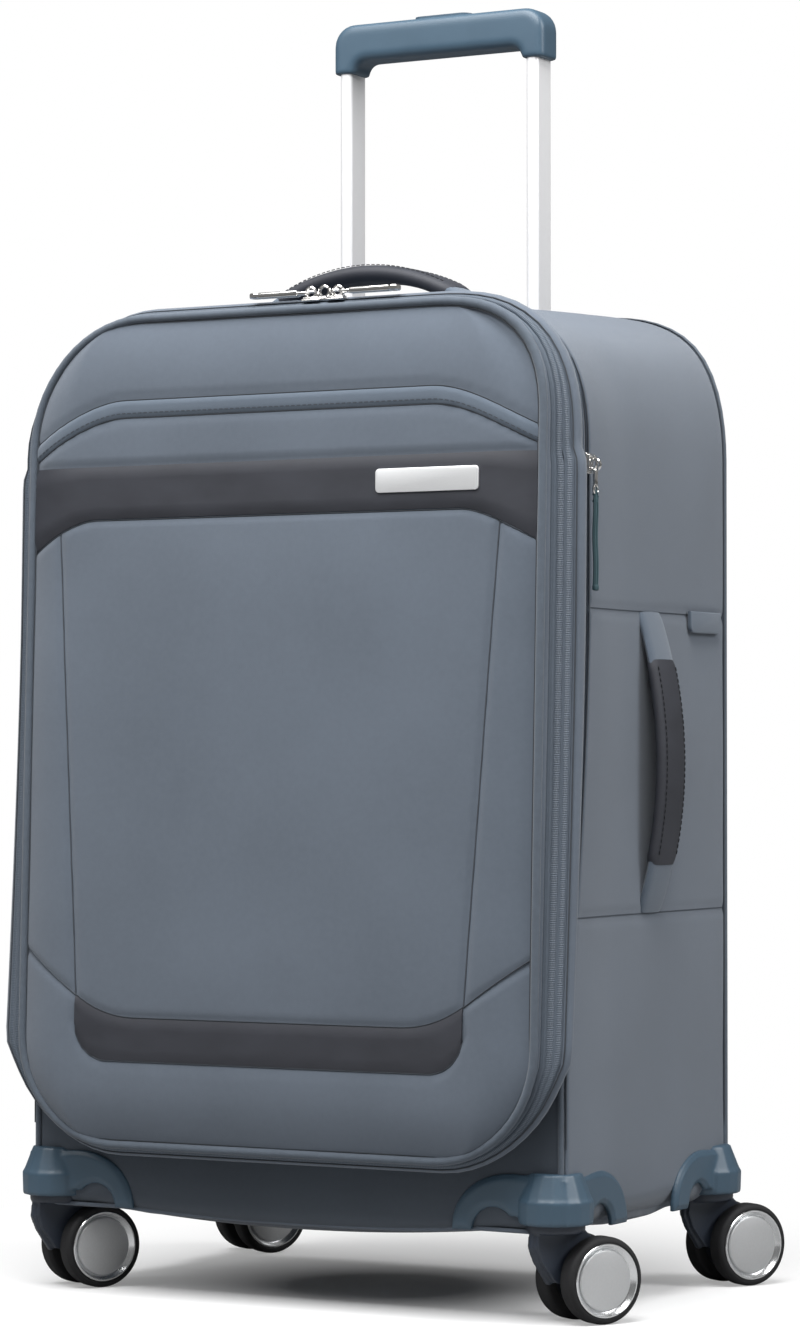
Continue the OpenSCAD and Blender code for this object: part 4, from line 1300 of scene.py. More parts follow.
def handle_section(width, thick, steps=16):
    """Flat oval section of a padded handle: (across, up)."""
    power = 0.55
    points = []
    for k in range(steps):
        a = 2 * math.pi * k / steps
        c, s = math.cos(a), math.sin(a)
        points.append((math.copysign(abs(c) ** power, c) * width / 2,
                       math.copysign(abs(s) ** 0.8, s) * thick / 2))
    return points


def handle_piece(name, spread, half, rise, width, thick, lift, turn, steps=40):
    """One stretch of an arched handle between two shares of its length, closed at both ends."""
    rings = []
    start, stop = spread
    for k in range(steps + 1):
        t = start + (stop - start) * k / steps
        along, height = arch_point(t, half, rise)
        ahead_a, ahead_h = arch_point(clamp(t + 0.01, -1, 1), half, rise)
        back_a, back_h = arch_point(clamp(t - 0.01, -1, 1), half, rise)
        slope = Vector((ahead_a - back_a, 0, ahead_h - back_h)).normalized()
        up = Vector((-slope.z, 0, slope.x))
        end = min(k, steps - k)
        scale = (0.9, 0.97)[end] if end < 2 else 1.0
        narrow = 1 - 0.05 * abs(t) ** 3
        centre = Vector((along, 0, height - thick / 2 + lift))
        rings.append([turn @ (centre + Vector((0, a * narrow * scale, 0)) + up * b * scale)
                      for a, b in handle_section(width, thick)])
    bm = bmesh.new()
    last = set(loft(bm, rings))
    ends = {v for v in bm.verts if any(e.is_boundary for e in v.link_edges)}
    for group in (last, ends - last):
        rim = [e for e in bm.edges if e.is_boundary and set(e.verts) <= group]
        bmesh.ops.contextual_create(bm, geom=rim)
    return to_piece(name, bm, 50)


def handle_border(half, rise, width, spread, lift, turn, edge):
    """Stitch path round the upper face of a handle's sleeve."""
    start, stop = spread
    paths = []
    for side in (-1, 1):
        path = []
        for k in range(60):
            t = start + (stop - start) * (0.04 + 0.92 * k / 59)
            along, height = arch_point(t, half, rise)
            narrow = 1 - 0.05 * abs(t) ** 3
            path.append(turn @ Vector((along, side * (width / 2 * narrow - edge), height + lift)))
        paths.append(path)
    return paths


def make_carry_handle(name, node, length, rise, thick, turn, body, sleeve):
    """A carry handle: cloth ends and a padded leather-like sleeve, stitched along its edges."""
    half = length / 2
    width = 34 * MM
    strap = handle_piece(name + "_strap", (-1.0, 1.0), half, rise, width - 1 * MM, thick - 1.2 * MM,
                         2 * MM - 0.4 * MM, turn, 60)
    dress(strap, MATERIALS["trim"], body)
    cover = handle_piece(name + "_sleeve", (-sleeve, sleeve), half, rise, width + 1 * MM, thick + 1.0 * MM,
                         2 * MM + 0.5 * MM, turn, 48)
    dress(cover, MATERIALS["band"], body, [node])
    bm = bmesh.new()
    spread = (-sleeve, sleeve)
    for path in handle_border(half, rise, width, spread, 2 * MM + 0.35 * MM, turn, 4.2 * MM):
        stitch_row(bm, path, 2.4 * MM, 1.4 * MM, 0.5 * MM)
    dress(to_piece(name + "_stitches", bm), MATERIALS["band_stitch"], body)


def make_anchor(name, centre, turn, length, width):
    """Cloth pocket that a handle's end goes into."""
    bm = bmesh.new()
    bmesh.ops.create_cube(bm, size=1)
    bmesh.ops.scale(bm, vec=(length, width, 3.4 * MM), verts=bm.verts)
    bmesh.ops.bevel(bm, geom=[e for e in bm.edges if abs(e.verts[0].co.z - e.verts[1].co.z) > WELD],
                    offset=5 * MM, affect="EDGES", segments=5, profile=0.5, material=-1)
    top = [e for e in bm.edges if all(v.co.z > 0 for v in e.verts)]
    bmesh.ops.bevel(bm, geom=top, offset=1.4 * MM, affect="EDGES", segments=3, profile=0.5, material=-1)
    bmesh.ops.transform(bm, matrix=turn @ Matrix.Translation(centre), verts=bm.verts)
    return to_piece(name, bm)


def make_carry_handles():
    """Top and side carry handles with their anchors, and the small side tab."""
    top_low, top_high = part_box("top_handle")
    side_low, side_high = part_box("side_handle")
    y_top = (top_low.y + top_high.y) / 2
    raised = place(0, y_top, SHELL.high).z
    top_turn = Matrix.Translation((0, y_top, raised))
    side_turn = Matrix.Translation((SHELL.half, (side_low.y + side_high.y) / 2,
                                    (side_low.z + side_high.z) / 2)) @ Matrix.Rotation(math.pi / 2, 4, "Y")
    top_length, side_length = top_high.x - top_low.x, side_high.z - side_low.z
    make_carry_handle("top_carry", "top_handle", top_length, top_high.z - raised, 10.5 * MM, top_turn,
                      "top_handle", 0.74)
    make_carry_handle("side_carry", "side_handle", side_length, side_high.x - side_low.x - 4 * MM, 7.5 * MM,
                      side_turn, "side_handle", 0.68)
    anchor_l = 16 * MM
    for word, end in (("left", -1), ("right", 1)):
        spot = Vector((end * (top_length / 2 + anchor_l / 2 + 0.5 * MM), 0, 1.2 * MM))
        anchor = make_anchor("top_anchor_" + word, spot, top_turn, anchor_l, 37 * MM)
        dress(anchor, MATERIALS["trim"], "case", ["handle_anchors"] if end < 0 else [])
    tab_low, tab_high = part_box("side_tab")
    w, h = tab_high.y - tab_low.y, tab_high.z - tab_low.z
    r = 4.5 * MM
    shape = [(-w / 2, h / 2)] + arc(r - w / 2, r - h / 2, r, 180, 270, 6) \
        + arc(w / 2 - r, r - h / 2, r, 270, 360, 6) + [(w / 2, h / 2)]
    middle = (tab_low + tab_high) / 2
    spot = Matrix.Translation((SHELL.half + 3.4 * MM, middle.y, middle.z))
    tab = plate_part(shape, 3 * MM, 0.9 * MM, 3, spot @ Matrix.Rotation(math.pi / 2, 4, "Z"))
    tab.name = tab.data.name = "side_tab_loop"
    dress(tab, MATERIALS["trim"], "case", ["side_tab"])


# ---- Pull handle ----

def make_grip():
    """Soft-edged grip with short legs, and its release button."""
    grip_low = low("grip_lower_shell")
    grip_high = high("grip_upper_shell")
    legs = low("grip_lower_shell").z
    half = grip_high.x
    y_mid = (grip_low.y + grip_high.y) / 2
    depth = grip_high.y - grip_low.y
    bar = 26 * MM
    leg = 17 * MM
    r, inner = 15 * MM, 8 * MM
    top = grip_high.z
    shape = [(-half, legs), (-half + leg, legs)]
    shape += arc(-half + leg + inner, top - bar - inner, inner, 180, 90, 8)
    shape += arc(half - leg - inner, top - bar - inner, inner, 90, 0, 8)
    shape += [(half - leg, legs), (half, legs)]
    shape += arc(half - r, top - r, r, 0, 90, 10) + arc(r - half, top - r, r, 90, 180, 10)
    block = plate_part(shape, depth, 0, 1, Matrix.Translation((0, y_mid - depth / 2, 0)))
    bm = bmesh.new()
    bm.from_mesh(block.data)
    rims = [e for e in bm.edges if abs(e.verts[0].co.y - e.verts[1].co.y) < WELD
            and max(v.co.z for v in e.verts) > legs + 1 * MM]
    bmesh.ops.bevel(bm, geom=rims, offset=5.5 * MM, affect="EDGES", segments=5, profile=0.5, material=-1,
                    clamp_overlap=True)
    bm.to_mesh(block.data)
    bm.free()
    grip = moulded("pull_grip", [block], 1.3 * MM, 9)
    dress(grip, MATERIALS["plastic"], "handle_upper",
          ["grip_upper_shell", "grip_lower_shell"])
    make_spring()
    for node, material in (("upper_tubes", "tubes"), ("middle_tubes", "tubes"), ("outer_tubes", "steel"),
                           ("trolley_bezel", "grey_plastic"), ("trolley_foot", "grey_plastic"),
                           ("release_button", "plastic"), ("release_rods", "steel"),
                           ("base_tray", "grey_plastic"), ("caster_kingpins", "steel"),
                           ("caster_bearings", "steel"), ("housing_screws", "steel")):
        NODES[node].data.materials.clear()
        NODES[node].data.materials.append(MATERIALS[material])


def make_spring():
    """Wire spring under the release bar."""
    spring_low, spring_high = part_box("button_spring")
    wire, turns, steps = 0.4 * MM, 4, 18
    middle, tall = (spring_low + spring_high) / 2, spring_high.z - spring_low.z
    radius = (spring_high.x - spring_low.x) / 2 - wire
    path = []
    for k in range(turns * steps + 1):
        a = 2 * math.pi * k / steps
        path.append((middle.x + radius * math.cos(a), middle.y + radius * math.sin(a),
                     spring_low.z + wire + (tall - 2 * wire) * k / (turns * steps)))
    spring = dress(tube("button_wire_spring", path, wire, 8), MATERIALS["steel"], "handle_upper",
                   ["button_spring"])
    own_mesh(spring)


# ---- Casters ----

def wing_outline(length, height, rise, arch_at, arch_r, z0, rim=0.0):
    """Side view of a housing's wing from the corner outwards, with its arch cut in its foot."""
    points = [(0.0, z0 + 10 * MM), (arch_at - arch_r, z0 + 10 * MM)]
    turns = [math.radians(140 - 140 * k / 12) for k in range(13)]
    points += [(arch_at + arch_r * math.cos(a), z0 + rim + 15 * MM * math.sin(a)) for a in turns]
    points += [(length - rim, z0 + rim)]
    for k in range(1, 17):
        turn = math.radians(90 * k / 16)
        points.append((length - rise + (rise - rim) * math.cos(turn),
                       z0 + (height - rim) * math.sin(turn) ** 0.9))
    points += [(0.0, z0 + height - rim - 2.5 * MM)]
    return points


def make_housing(key, sizes):
    """A moulded corner housing: two wings, a coned collar and a small arch in each wing."""
    side, end = CORNERS[key]
    node = "housing_" + key
    z0, z1 = low(node).z, high(node).z
    pin = JOINTS["swivel_turn_" + key]["pos_m"]
    height = z1 - z0
    half_w, half_d = SHELL.half, -Y_TOE
    thick = 3.6 * MM
    parts = []
    corner = Matrix.Diagonal((side, end, 1, 1)) @ Matrix.Translation((half_w + thick, half_d + thick, 0))
    along_side = Matrix.Rotation(-math.pi / 2, 4, "Z") @ Matrix.Diagonal((1, -1, 1, 1))
    arch_at = 51 * MM
    for length, turn in (
        (sizes.front_wing, corner @ Matrix.Rotation(math.pi, 4, "Z")),
        (sizes.side_wing, corner @ along_side),
    ):
        outer = wing_outline(length, height, 42 * MM, arch_at, 15 * MM, z0)
        parts.append(plate_part(outer, 3.4 * MM, 0.0, 1, turn @ Matrix.Translation((0, 0.8 * MM, 0))))
        inner = wing_outline(length, height, 42 * MM, arch_at, 17 * MM, z0, 3.0 * MM)
        parts.append(plate_part(inner, 3.4 * MM, 0.0, 1, turn @ Matrix.Translation((0, -0.4 * MM, 0))))
    spot = Matrix.Translation((pin[0], pin[1], 0))
    foot, belt = z0 + 5.5 * MM, z0 + 20 * MM
    collar = [(0, foot + 4 * MM), (19 * MM, foot + 4 * MM), (19 * MM, foot), (22.4 * MM, foot),
              (23.2 * MM, foot + 1 * MM), (23.6 * MM, belt), (22.4 * MM, belt + 1.5 * MM),
              (16.5 * MM, z1 + 0.5 * MM), (15.0 * MM, z1 + 1 * MM), (0, z1 + 1 * MM)]
    parts.append(spun("part", collar, spot, 16))
    piece = moulded(node + "_shell", parts, 1.1 * MM, 3)
    dress(piece, MATERIALS["plastic"], "case", [node])


def make_fork(key):
    """Fork with a curved arm, ribs, a top disc and a boss round the axle."""
    node = "fork_" + key
    pin = JOINTS["swivel_turn_" + key]["pos_m"]
    axle = JOINTS["wheel_spin_" + key]
    turn = math.atan2(axle["axis"][1], axle["axis"][0])
    spot = Matrix.Translation((pin[0], pin[1], 0)) @ Matrix.Rotation(turn, 4, "Z")
    trail = math.hypot(axle["pos_m"][0] - pin[0], axle["pos_m"][1] - pin[1])
    z_axle = axle["pos_m"][2]
    z_mouth = SHELL.low - 1.5 * MM
    side_view = spot @ Matrix.Rotation(math.pi / 2, 4, "Z")
    arm = [(-16 * MM, z_mouth + 5 * MM), (-17.5 * MM, z_mouth - 6 * MM), (-14 * MM, z_axle + 12 * MM),
           (-4 * MM, z_axle - 1 * MM)]
    arm += arc(trail, z_axle, 8.6 * MM, 215, 400, 14)
    arm += [(trail + 3 * MM, z_mouth - 5 * MM), (16 * MM, z_mouth + 5 * MM)]
    shift = Matrix.Translation((0, -5.6 * MM, 0))
    parts = [plate_part(arm, 11.2 * MM, 0.0, 1, side_view @ shift)]
    rib = [(-17.5 * MM, z_mouth + 4 * MM), (-19.5 * MM, z_mouth - 7 * MM), (-15.5 * MM, z_axle + 11 * MM),
           (-6 * MM, z_axle - 3 * MM), (-2 * MM, z_axle), (-8 * MM, z_axle + 12 * MM),
           (-10 * MM, z_mouth - 9 * MM), (-9 * MM, z_mouth)]
    parts.append(plate_part(rib, 4.4 * MM, 0.0, 1, side_view @ Matrix.Translation((0, -2.2 * MM, 0))))
    disc = [(0, z_mouth + 2 * MM), (17.5 * MM, z_mouth + 2 * MM), (18.2 * MM, z_mouth + 3.5 * MM),
            (18.2 * MM, z_mouth + 8 * MM), (15.5 * MM, z_mouth + 9 * MM), (0, z_mouth + 9 * MM)]
    parts.append(spun("part", disc, spot, 40))
    boss = [(0, -6.4 * MM), (7.4 * MM, -6.4 * MM), (7.4 * MM, 6.4 * MM), (0, 6.4 * MM)]
    across_axle = spot @ Matrix.Translation((0, trail, z_axle)) @ Matrix.Rotation(math.pi / 2, 4, "Y")
    parts.append(spun("part", boss, across_axle, 32))
    piece = moulded(node + "_arm", parts, 0.8 * MM, 2)
    dress(piece, MATERIALS["navy"], "swivel_" + key, [node])


def make_wheels(key):
    """Twin wheels: round-shouldered tyres, dark cores, bright rings, satin caps and the axle."""
    axle = JOINTS["wheel_spin_" + key]
    turn = math.atan2(axle["axis"][1], axle["axis"][0])
    spot = (Matrix.Translation(axle["pos_m"]) @ Matrix.Rotation(turn, 4, "Z")
            @ Matrix.Rotation(math.pi / 2, 4, "Y"))
    r = axle["pos_m"][2]
    inner, outer = 7 * MM, 20.5 * MM
    shoulder = 3.2 * MM
    hub = 0.86 * r
    body = "wheels_" + key
    bms = {name: bmesh.new() for name in ("tyre_pair", "wheel_cores", "cap_rings", "cap_discs")}
    for flip in (1, -1):
        mirror = spot @ Matrix.Diagonal((1, 1, flip, 1))
        edge = arc(r - shoulder, outer - shoulder, shoulder, 90, 0, 6)
        back = arc(r - shoulder, inner + shoulder, shoulder, 0, -90, 6)
        tyre = [(hub - 1 * MM, outer - 1.0 * MM), (hub + 0.6 * MM, outer)] + edge + back \
            + [(hub - 4 * MM, inner), (hub - 5 * MM, inner + 2 * MM), (hub - 1 * MM, inner + 4 * MM),
               (hub - 1 * MM, outer - 1.0 * MM)]
        core = [(3 * MM, inner + 0.4 * MM), (6.5 * MM, inner + 0.4 * MM), (7.5 * MM, inner + 3 * MM),
                (hub - 6 * MM, inner + 4 * MM), (hub - 4.5 * MM, inner + 1.4 * MM),
                (hub - 0.9 * MM, inner + 1.4 * MM), (hub - 0.9 * MM, outer - 3 * MM),
                (3 * MM, outer - 3 * MM), (3 * MM, inner + 0.4 * MM)]
        ring = [(hub - 4.6 * MM, outer - 3 * MM), (hub - 0.4 * MM, outer - 3 * MM),
                (hub - 0.4 * MM, outer + 0.1 * MM), (hub - 0.8 * MM, outer + 0.5 * MM),
                (hub - 1.5 * MM, outer + 0.5 * MM), (hub - 1.9 * MM, outer + 0.1 * MM),
                (hub - 3.6 * MM, outer - 1.9 * MM), (hub - 4.4 * MM, outer - 2.3 * MM),
                (hub - 4.4 * MM, outer - 3.4 * MM), (hub - 4.6 * MM, outer - 3 * MM)]
        disc = [(0, outer - 2.9 * MM), (hub - 4.5 * MM, outer - 2.9 * MM), (hub - 4.5 * MM, outer - 1.7 * MM),
                (hub - 5.1 * MM, outer - 1.15 * MM), (hub - 6.2 * MM, outer - 0.95 * MM),
                (hub - 12 * MM, outer - 0.3 * MM), (0, outer + 0.2 * MM)]
        for name, profile in zip(bms, (tyre, core, ring, disc)):
            absorb(bms[name], spun("part", profile, mirror, 64))
    looks = {
        "tyre_pair": ("tyre", "tyre_rubber", ["tyres_" + key]),
        "wheel_cores": ("navy", "dark_plastic", []),
        "cap_rings": ("ring", "hub_silver", ["hubs_" + key]),
        "cap_discs": ("cap", "hub_silver", []),
    }
    for name, bm in bms.items():
        material, slot, replaced = looks[name]
        dress(to_piece(name + "_" + key, bm, 32), MATERIALS[material], body, replaced)
    rod = [(0, -outer + 3 * MM), (3 * MM, -outer + 3 * MM), (3 * MM, outer - 3 * MM), (0, outer - 3 * MM)]
    dress(spun("axle_" + key, rod, spot, 24), MATERIALS["steel"], body)


def make_casters(sizes):
    """The four casters, each under its corner housing."""
    for key in CORNERS:
        make_housing(key, sizes)
        make_fork(key)
        make_wheels(key)


# ---- Zipper sliders ----

PULL_HEIGHT = 6.0 * MM
UPRIGHT = Matrix.Rotation(math.pi / 2, 3, "X")


def ring_part(centre, major, minor, turn, steps=28):
    """A closed wire ring round a centre, its plane turned by a matrix."""
    path = [centre + turn @ Vector((major * math.cos(a), major * math.sin(a), 0))
            for a in (2 * math.pi * k / steps for k in range(steps + 1))]
    return tube("part", path, minor, 8)


def joined_piece(name, parts, material, body, replaced):
    """Several parts joined as one piece."""
    bm = bmesh.new()
    for part in parts:
        absorb(bm, part)
    return dress(to_piece(name, bm, 35), MATERIALS[material], body, replaced)


def placed(part, matrix):
    """The part, moved by a matrix in its own mesh."""
    part.data.transform(matrix)
    return part


def make_slider(name, node, turn, body):
    """Slider lying along X: two cheeks and a bridge over them."""
    cheeks = [box_part((-6.5 * MM, -4 * MM, 0.2 * MM), (6.5 * MM, 4 * MM, 2.0 * MM), 0.8 * MM),
              box_part((-5.5 * MM, -3.2 * MM, 1.8 * MM), (5.5 * MM, 3.2 * MM, 3.2 * MM), 0.6 * MM)]
    parts = [placed(cheek, turn) for cheek in cheeks]
    span, foot = 4.5 * MM, 2.4 * MM
    over = [(-span * math.cos(a), (3.0 + 3.9 * math.sin(a)) * MM)
            for a in (math.pi * k / 12 for k in range(13))]
    bridge = [turn @ Vector((x, 0, z)) for x, z in [(-span, foot)] + over + [(span, foot)]]
    parts.append(tube("part", bridge, 1.15 * MM, 8))
    return joined_piece(name, parts, "chrome", body, [node])


def make_pull(name, node, length, turn, body):
    """Bar pull lying along X from its hinge, with an eye in its end."""
    z = PULL_HEIGHT
    eye = [(1.9 * MM, z - 1.7 * MM), (3.8 * MM, z - 1.7 * MM), (4.3 * MM, z - 1.0 * MM),
           (4.3 * MM, z + 1.0 * MM), (3.8 * MM, z + 1.7 * MM), (1.9 * MM, z + 1.7 * MM),
           (1.9 * MM, z - 1.7 * MM)]
    parts = [
        ring_part(Vector((1.0 * MM, 0, z)), 3.4 * MM, 1.0 * MM, UPRIGHT),
        box_part((3.6 * MM, -2.0 * MM, z - 1.2 * MM), (12 * MM, 2.0 * MM, z + 1.2 * MM), 0.8 * MM),
        box_part((10 * MM, -3.1 * MM, z - 1.9 * MM), (length - 7 * MM, 3.1 * MM, z + 1.9 * MM), 0.9 * MM),
        spun("part", eye, Matrix.Translation((length - 4.4 * MM, 0, 0)), 28),
    ]
    parts = [placed(part, turn) for part in parts]
    return joined_piece(name, parts, "chrome", body, [node])


def make_sliders():
    """Both main sliders with bar pulls, and the expander's slider with its corded grip."""
    for word, flip in (("left", -1), ("right", 1)):
        pos = JOINTS[word + "_pull_swing"]["pos_m"]
        seat = place(pos[0], pos[1], RING.high)
        turn = Matrix.Translation((pos[0], seat.y, seat.z + 0.8 * MM))
        make_slider(word + "_zip_slider", word + "_slider", turn, word + "_slider")
        pull_turn = turn @ Matrix.Diagonal((flip, 1, 1, 1))
        make_pull(word + "_bar_pull", word + "_pull", 46 * MM, pull_turn, word + "_pull")
    pos = JOINTS["left_pull_swing"]["pos_m"]
    pos = (pos[0], *place(pos[0], pos[1], RING.high + 5.7 * MM)[1:])
    ring = ring_part(Vector((pos[0] + 9.0 * MM, pos[1], pos[2] + 1.2 * MM)), 3.5 * MM, 1.0 * MM,
                     UPRIGHT)
    link_bar = box_part((pos[0] + 3 * MM, pos[1] - 1.6 * MM, pos[2] - 4.6 * MM),
                        (pos[0] + 11 * MM, pos[1] + 1.6 * MM, pos[2] - 2.2 * MM), 0.8 * MM)
    joined_piece("lock_ring", [ring, link_bar], "chrome", "left_slider", [])
    pos = JOINTS["expander_pull_swing"]["pos_m"]
    seat = place(RING.half, pos[1], pos[2])
    turn = Matrix.Translation((seat.x + 1.2 * MM, seat.y, pos[2])) @ Matrix.Rotation(math.pi / 2, 4, "Y")
    make_slider("expander_zip_slider", "expander_slider", turn, "expander_slider")
    make_cord_pull(turn)


def make_cord_pull(turn):
    """The expander's link and its grip of two bonded strands, hanging from the slider."""
    z = PULL_HEIGHT
    link = [ring_part(Vector((1 * MM, 0, z)), 3.3 * MM, 1.0 * MM, UPRIGHT),
            box_part((3.6 * MM, -1.9 * MM, z - 1.1 * MM), (14 * MM, 1.9 * MM, z + 1.1 * MM), 0.9 * MM),
            ring_part(Vector((16.4 * MM, 0, z)), 2.6 * MM, 0.9 * MM, Matrix.Identity(3))]
    link = [placed(part, turn) for part in link]
    joined_piece("expander_pull_link", link, "chrome", "expander_pull", ["expander_pull"])
    strands = []
    for s in (-1, 1):
        path = []
        for k in range(21):
            apart = (0.5 + 0.75 * math.sin(min(1, k / 6) * math.pi / 2)) * MM
            path.append(turn @ Vector(((17 + 3 * k) * MM, s * apart, z + 0.3 * MM * math.sin(k * 0.5))))
        strands.append(tube("part", path, 1.25 * MM, 10))
    knot = [turn @ Vector(((18.5 + 0.55 * k) * MM, MM * math.cos(1.9 * k), z + MM * math.sin(1.9 * k)))
            for k in range(13)]
    strands.append(tube("part", knot, 1.2 * MM, 8))
    tip = box_part((75 * MM, -2.6 * MM, z - 1.5 * MM), (79 * MM, 2.6 * MM, z + 1.5 * MM), 1.2 * MM)
    strands.append(placed(tip, turn))
    joined_piece("expander_cord_grip", strands, "cord", "expander_pull", ["expander_grip"])


# ---- Inside ----

def make_inside():
    """Lining, lid lining with its zipped pocket, and the packing straps with their buckle."""
    rows = [(0.0, Y_SPLIT + 2 * MM + (Y_LINING - Y_SPLIT - 4 * MM) * k / 14) for k in range(15)]
    rows += [(1.5 * MM, Y_LINING - 0.5 * MM), (4 * MM, Y_LINING)]
    rings = [[Vector((x, max(y, place(x, Y_SPLIT + 2 * MM, z).y) if k == 0 else y, z))
              for x, z in outline_points(LINING, inset)] for k, (inset, y) in enumerate(rows)]
    bm = bmesh.new()
    last = loft(bm, rings)
    rim = [e for e in bm.edges if e.is_boundary and set(e.verts) <= set(last)]
    bmesh.ops.contextual_create(bm, geom=rim)
    lining = to_piece("lining_cloth", bm)
    for v in lining.data.vertices:
        ripple = 1.0 * MM * noise.noise(v.co * 22.0)
        v.co.x -= math.copysign(abs(ripple), v.co.x) if abs(v.co.x) > 0.15 else 0
    wall = lining.modifiers.new("wall", "SOLIDIFY")
    wall.thickness, wall.offset = 0.8 * MM, 0
    dress(lining, MATERIALS["lining"], "case", ["lining"])
    back = panel("lid_lining", LID, 5 * MM, Y_LID - 1.2 * MM, 44, 40, ahead=False)
    close_behind(back, -2 * MM)
    dress(back, MATERIALS["lining"], "lid", ["lid_pocket"])
    pocket_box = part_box("lid_pocket")
    z_zip = pocket_box[1].z - 66 * MM
    zip_path = [place(x, Y_LID - 0.4 * MM, z_zip) for x in across(130 * MM, 6 * MM)]
    make_seams("lid_pocket_zip", [zip_path], 1.6 * MM, MATERIALS["coil"], "lid")
    strap_low, strap_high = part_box("packing_straps")
    straps = []
    strap_w = 25 * MM
    for x in (strap_low.x, strap_high.x - strap_w):
        part = box_part((x, strap_low.y, strap_low.z), (x + strap_w, strap_high.y, strap_high.z), 0.6 * MM, 2)
        straps.append(part)
    joined_piece("packing_webbing", straps, "webbing", "case", ["packing_straps"])
    buckle_low, buckle_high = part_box("strap_buckle")
    middle = (buckle_low.x + buckle_high.x) / 2
    parts = [box_part((buckle_low.x, buckle_low.y, buckle_low.z),
                      (buckle_high.x, buckle_high.y - 1.5 * MM, buckle_low.z + 15 * MM), 1.4 * MM),
             box_part((buckle_low.x + 3 * MM, buckle_low.y, buckle_low.z + 14 * MM),
                      (buckle_high.x - 3 * MM, buckle_high.y - 1.5 * MM, buckle_high.z), 1.4 * MM),
             box_part((middle - 3 * MM, buckle_low.y - 0.8 * MM, buckle_low.z + 4 * MM),
                      (middle + 3 * MM, buckle_low.y + 2 * MM, buckle_high.z - 6 * MM), 1.0 * MM)]
    joined_piece("side_release_buckle", parts, "grey_plastic", "case", ["strap_buckle"])


# ---- Stage ----

CAMERA_TURN = math.radians(29.34)
CAMERA_AWAY, CAMERA_ASIDE, CAMERA_HEIGHT = 2.740, 0.0117, 0.3486
CAMERA_PITCH = math.radians(1.18)
CAMERA_LENS = 111.3
WHITE = (1, 1, 1, 1)
FLOOR_RADIUS = 30
FADE_RATE, FADE_START = 2.0, -0.12
FLOOR_TONE, FLOOR_SEEN = 0.33, 0.55
# Name, place, aim, width, height and power of each light
SOFTBOXES = (
    ("overhead_softbox", (0.1, -0.75, 2.0), (0, 0, 0.5), 1.8, 1.4, 78),
    ("left_softbox", (-1.5, -1.9, 2.0), (0, 0, 0.7), 0.9, 1.1, 11),
    ("right_softbox", (2.2, 0.3, 1.8), (0, 0, 0.6), 1.0, 1.2, 38),
)


def make_light(name, spot, target, width, height, power):
    """A rectangular softbox at a spot, turned towards its target."""
    data = bpy.data.lights.new(name, "AREA")
    data.shape = "RECTANGLE"
    data.size, data.size_y, data.energy = width, height, power
    lamp = bpy.data.objects.new(name, data)
    lamp.location = spot
    lamp.rotation_mode = "QUATERNION"
    lamp.rotation_quaternion = (Vector(target) - Vector(spot)).to_track_quat("-Z", "Y")
    bpy.context.scene.collection.objects.link(lamp)


def make_stage(sizes):
    """Pale floor that fades into the background, soft studio light and the camera."""
    bm = bmesh.new()
    bmesh.ops.create_circle(bm, cap_ends=True, segments=96, radius=FLOOR_RADIUS)
    floor = to_piece("floor", bm)
    s = Shader("pale_floor")
    x, y, _ = s.axes()
    away = s.add("ShaderNodeMath", {"operation": "SQRT"}, {0: x * x + y * y})
    fade = s.add("ShaderNodeMath", {"operation": "MULTIPLY_ADD", "use_clamp": True},
                 {0: away, 1: FADE_RATE, 2: FADE_START})
    seen = s.add("ShaderNodeLightPath", output="Is Camera Ray")
    diffuse = s.add("ShaderNodeBsdfDiffuse", None, {"Color": seen * FLOOR_SEEN + FLOOR_TONE})
    glow = s.add("ShaderNodeEmission", None, {"Color": WHITE, "Strength": 1.0})
    mixed = s.add("ShaderNodeMixShader", None, {0: fade * seen, 1: diffuse, 2: glow})
    s.add("ShaderNodeOutputMaterial", None, {"Surface": mixed}, None)
    floor.data.materials.append(s.owner)
    floor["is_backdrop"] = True
    sky = Shader("studio", "worlds")
    bpy.context.scene.world = sky.owner
    direct = sky.add("ShaderNodeLightPath", output="Is Camera Ray")
    soft = sky.add("ShaderNodeBackground", None, {"Color": WHITE, "Strength": sizes.fill})
    backdrop = sky.add("ShaderNodeBackground", None, {"Color": WHITE})
    mixed = sky.add("ShaderNodeMixShader", None, {0: direct, 1: soft, 2: backdrop})
    sky.add("ShaderNodeOutputWorld", None, {"Surface": mixed}, None)
    for name, spot, target, width, height, power in SOFTBOXES:
        make_light(name, spot, target, width, height, power * sizes.key)
    forward = Vector((-math.sin(CAMERA_TURN), math.cos(CAMERA_TURN), 0))
    right = Vector((math.cos(CAMERA_TURN), math.sin(CAMERA_TURN), 0))
    camera = bpy.data.objects.new("camera", bpy.data.cameras.new("camera"))
    camera.data.lens = CAMERA_LENS
    camera.data.sensor_width = 36
    camera.data.clip_end = 100
    camera.location = -forward * CAMERA_AWAY + right * CAMERA_ASIDE + Vector((0, 0, CAMERA_HEIGHT))
    aim = forward * math.cos(CAMERA_PITCH) + Vector((0, 0, math.sin(CAMERA_PITCH)))
    camera.rotation_mode = "QUATERNION"
    camera.rotation_quaternion = aim.to_track_quat("-Z", "Y")
    bpy.context.scene.collection.objects.link(camera)
    bpy.context.scene.camera = camera
    bpy.context.scene.view_settings.view_transform = "Standard"


# ---- Settings, operators and panel ----

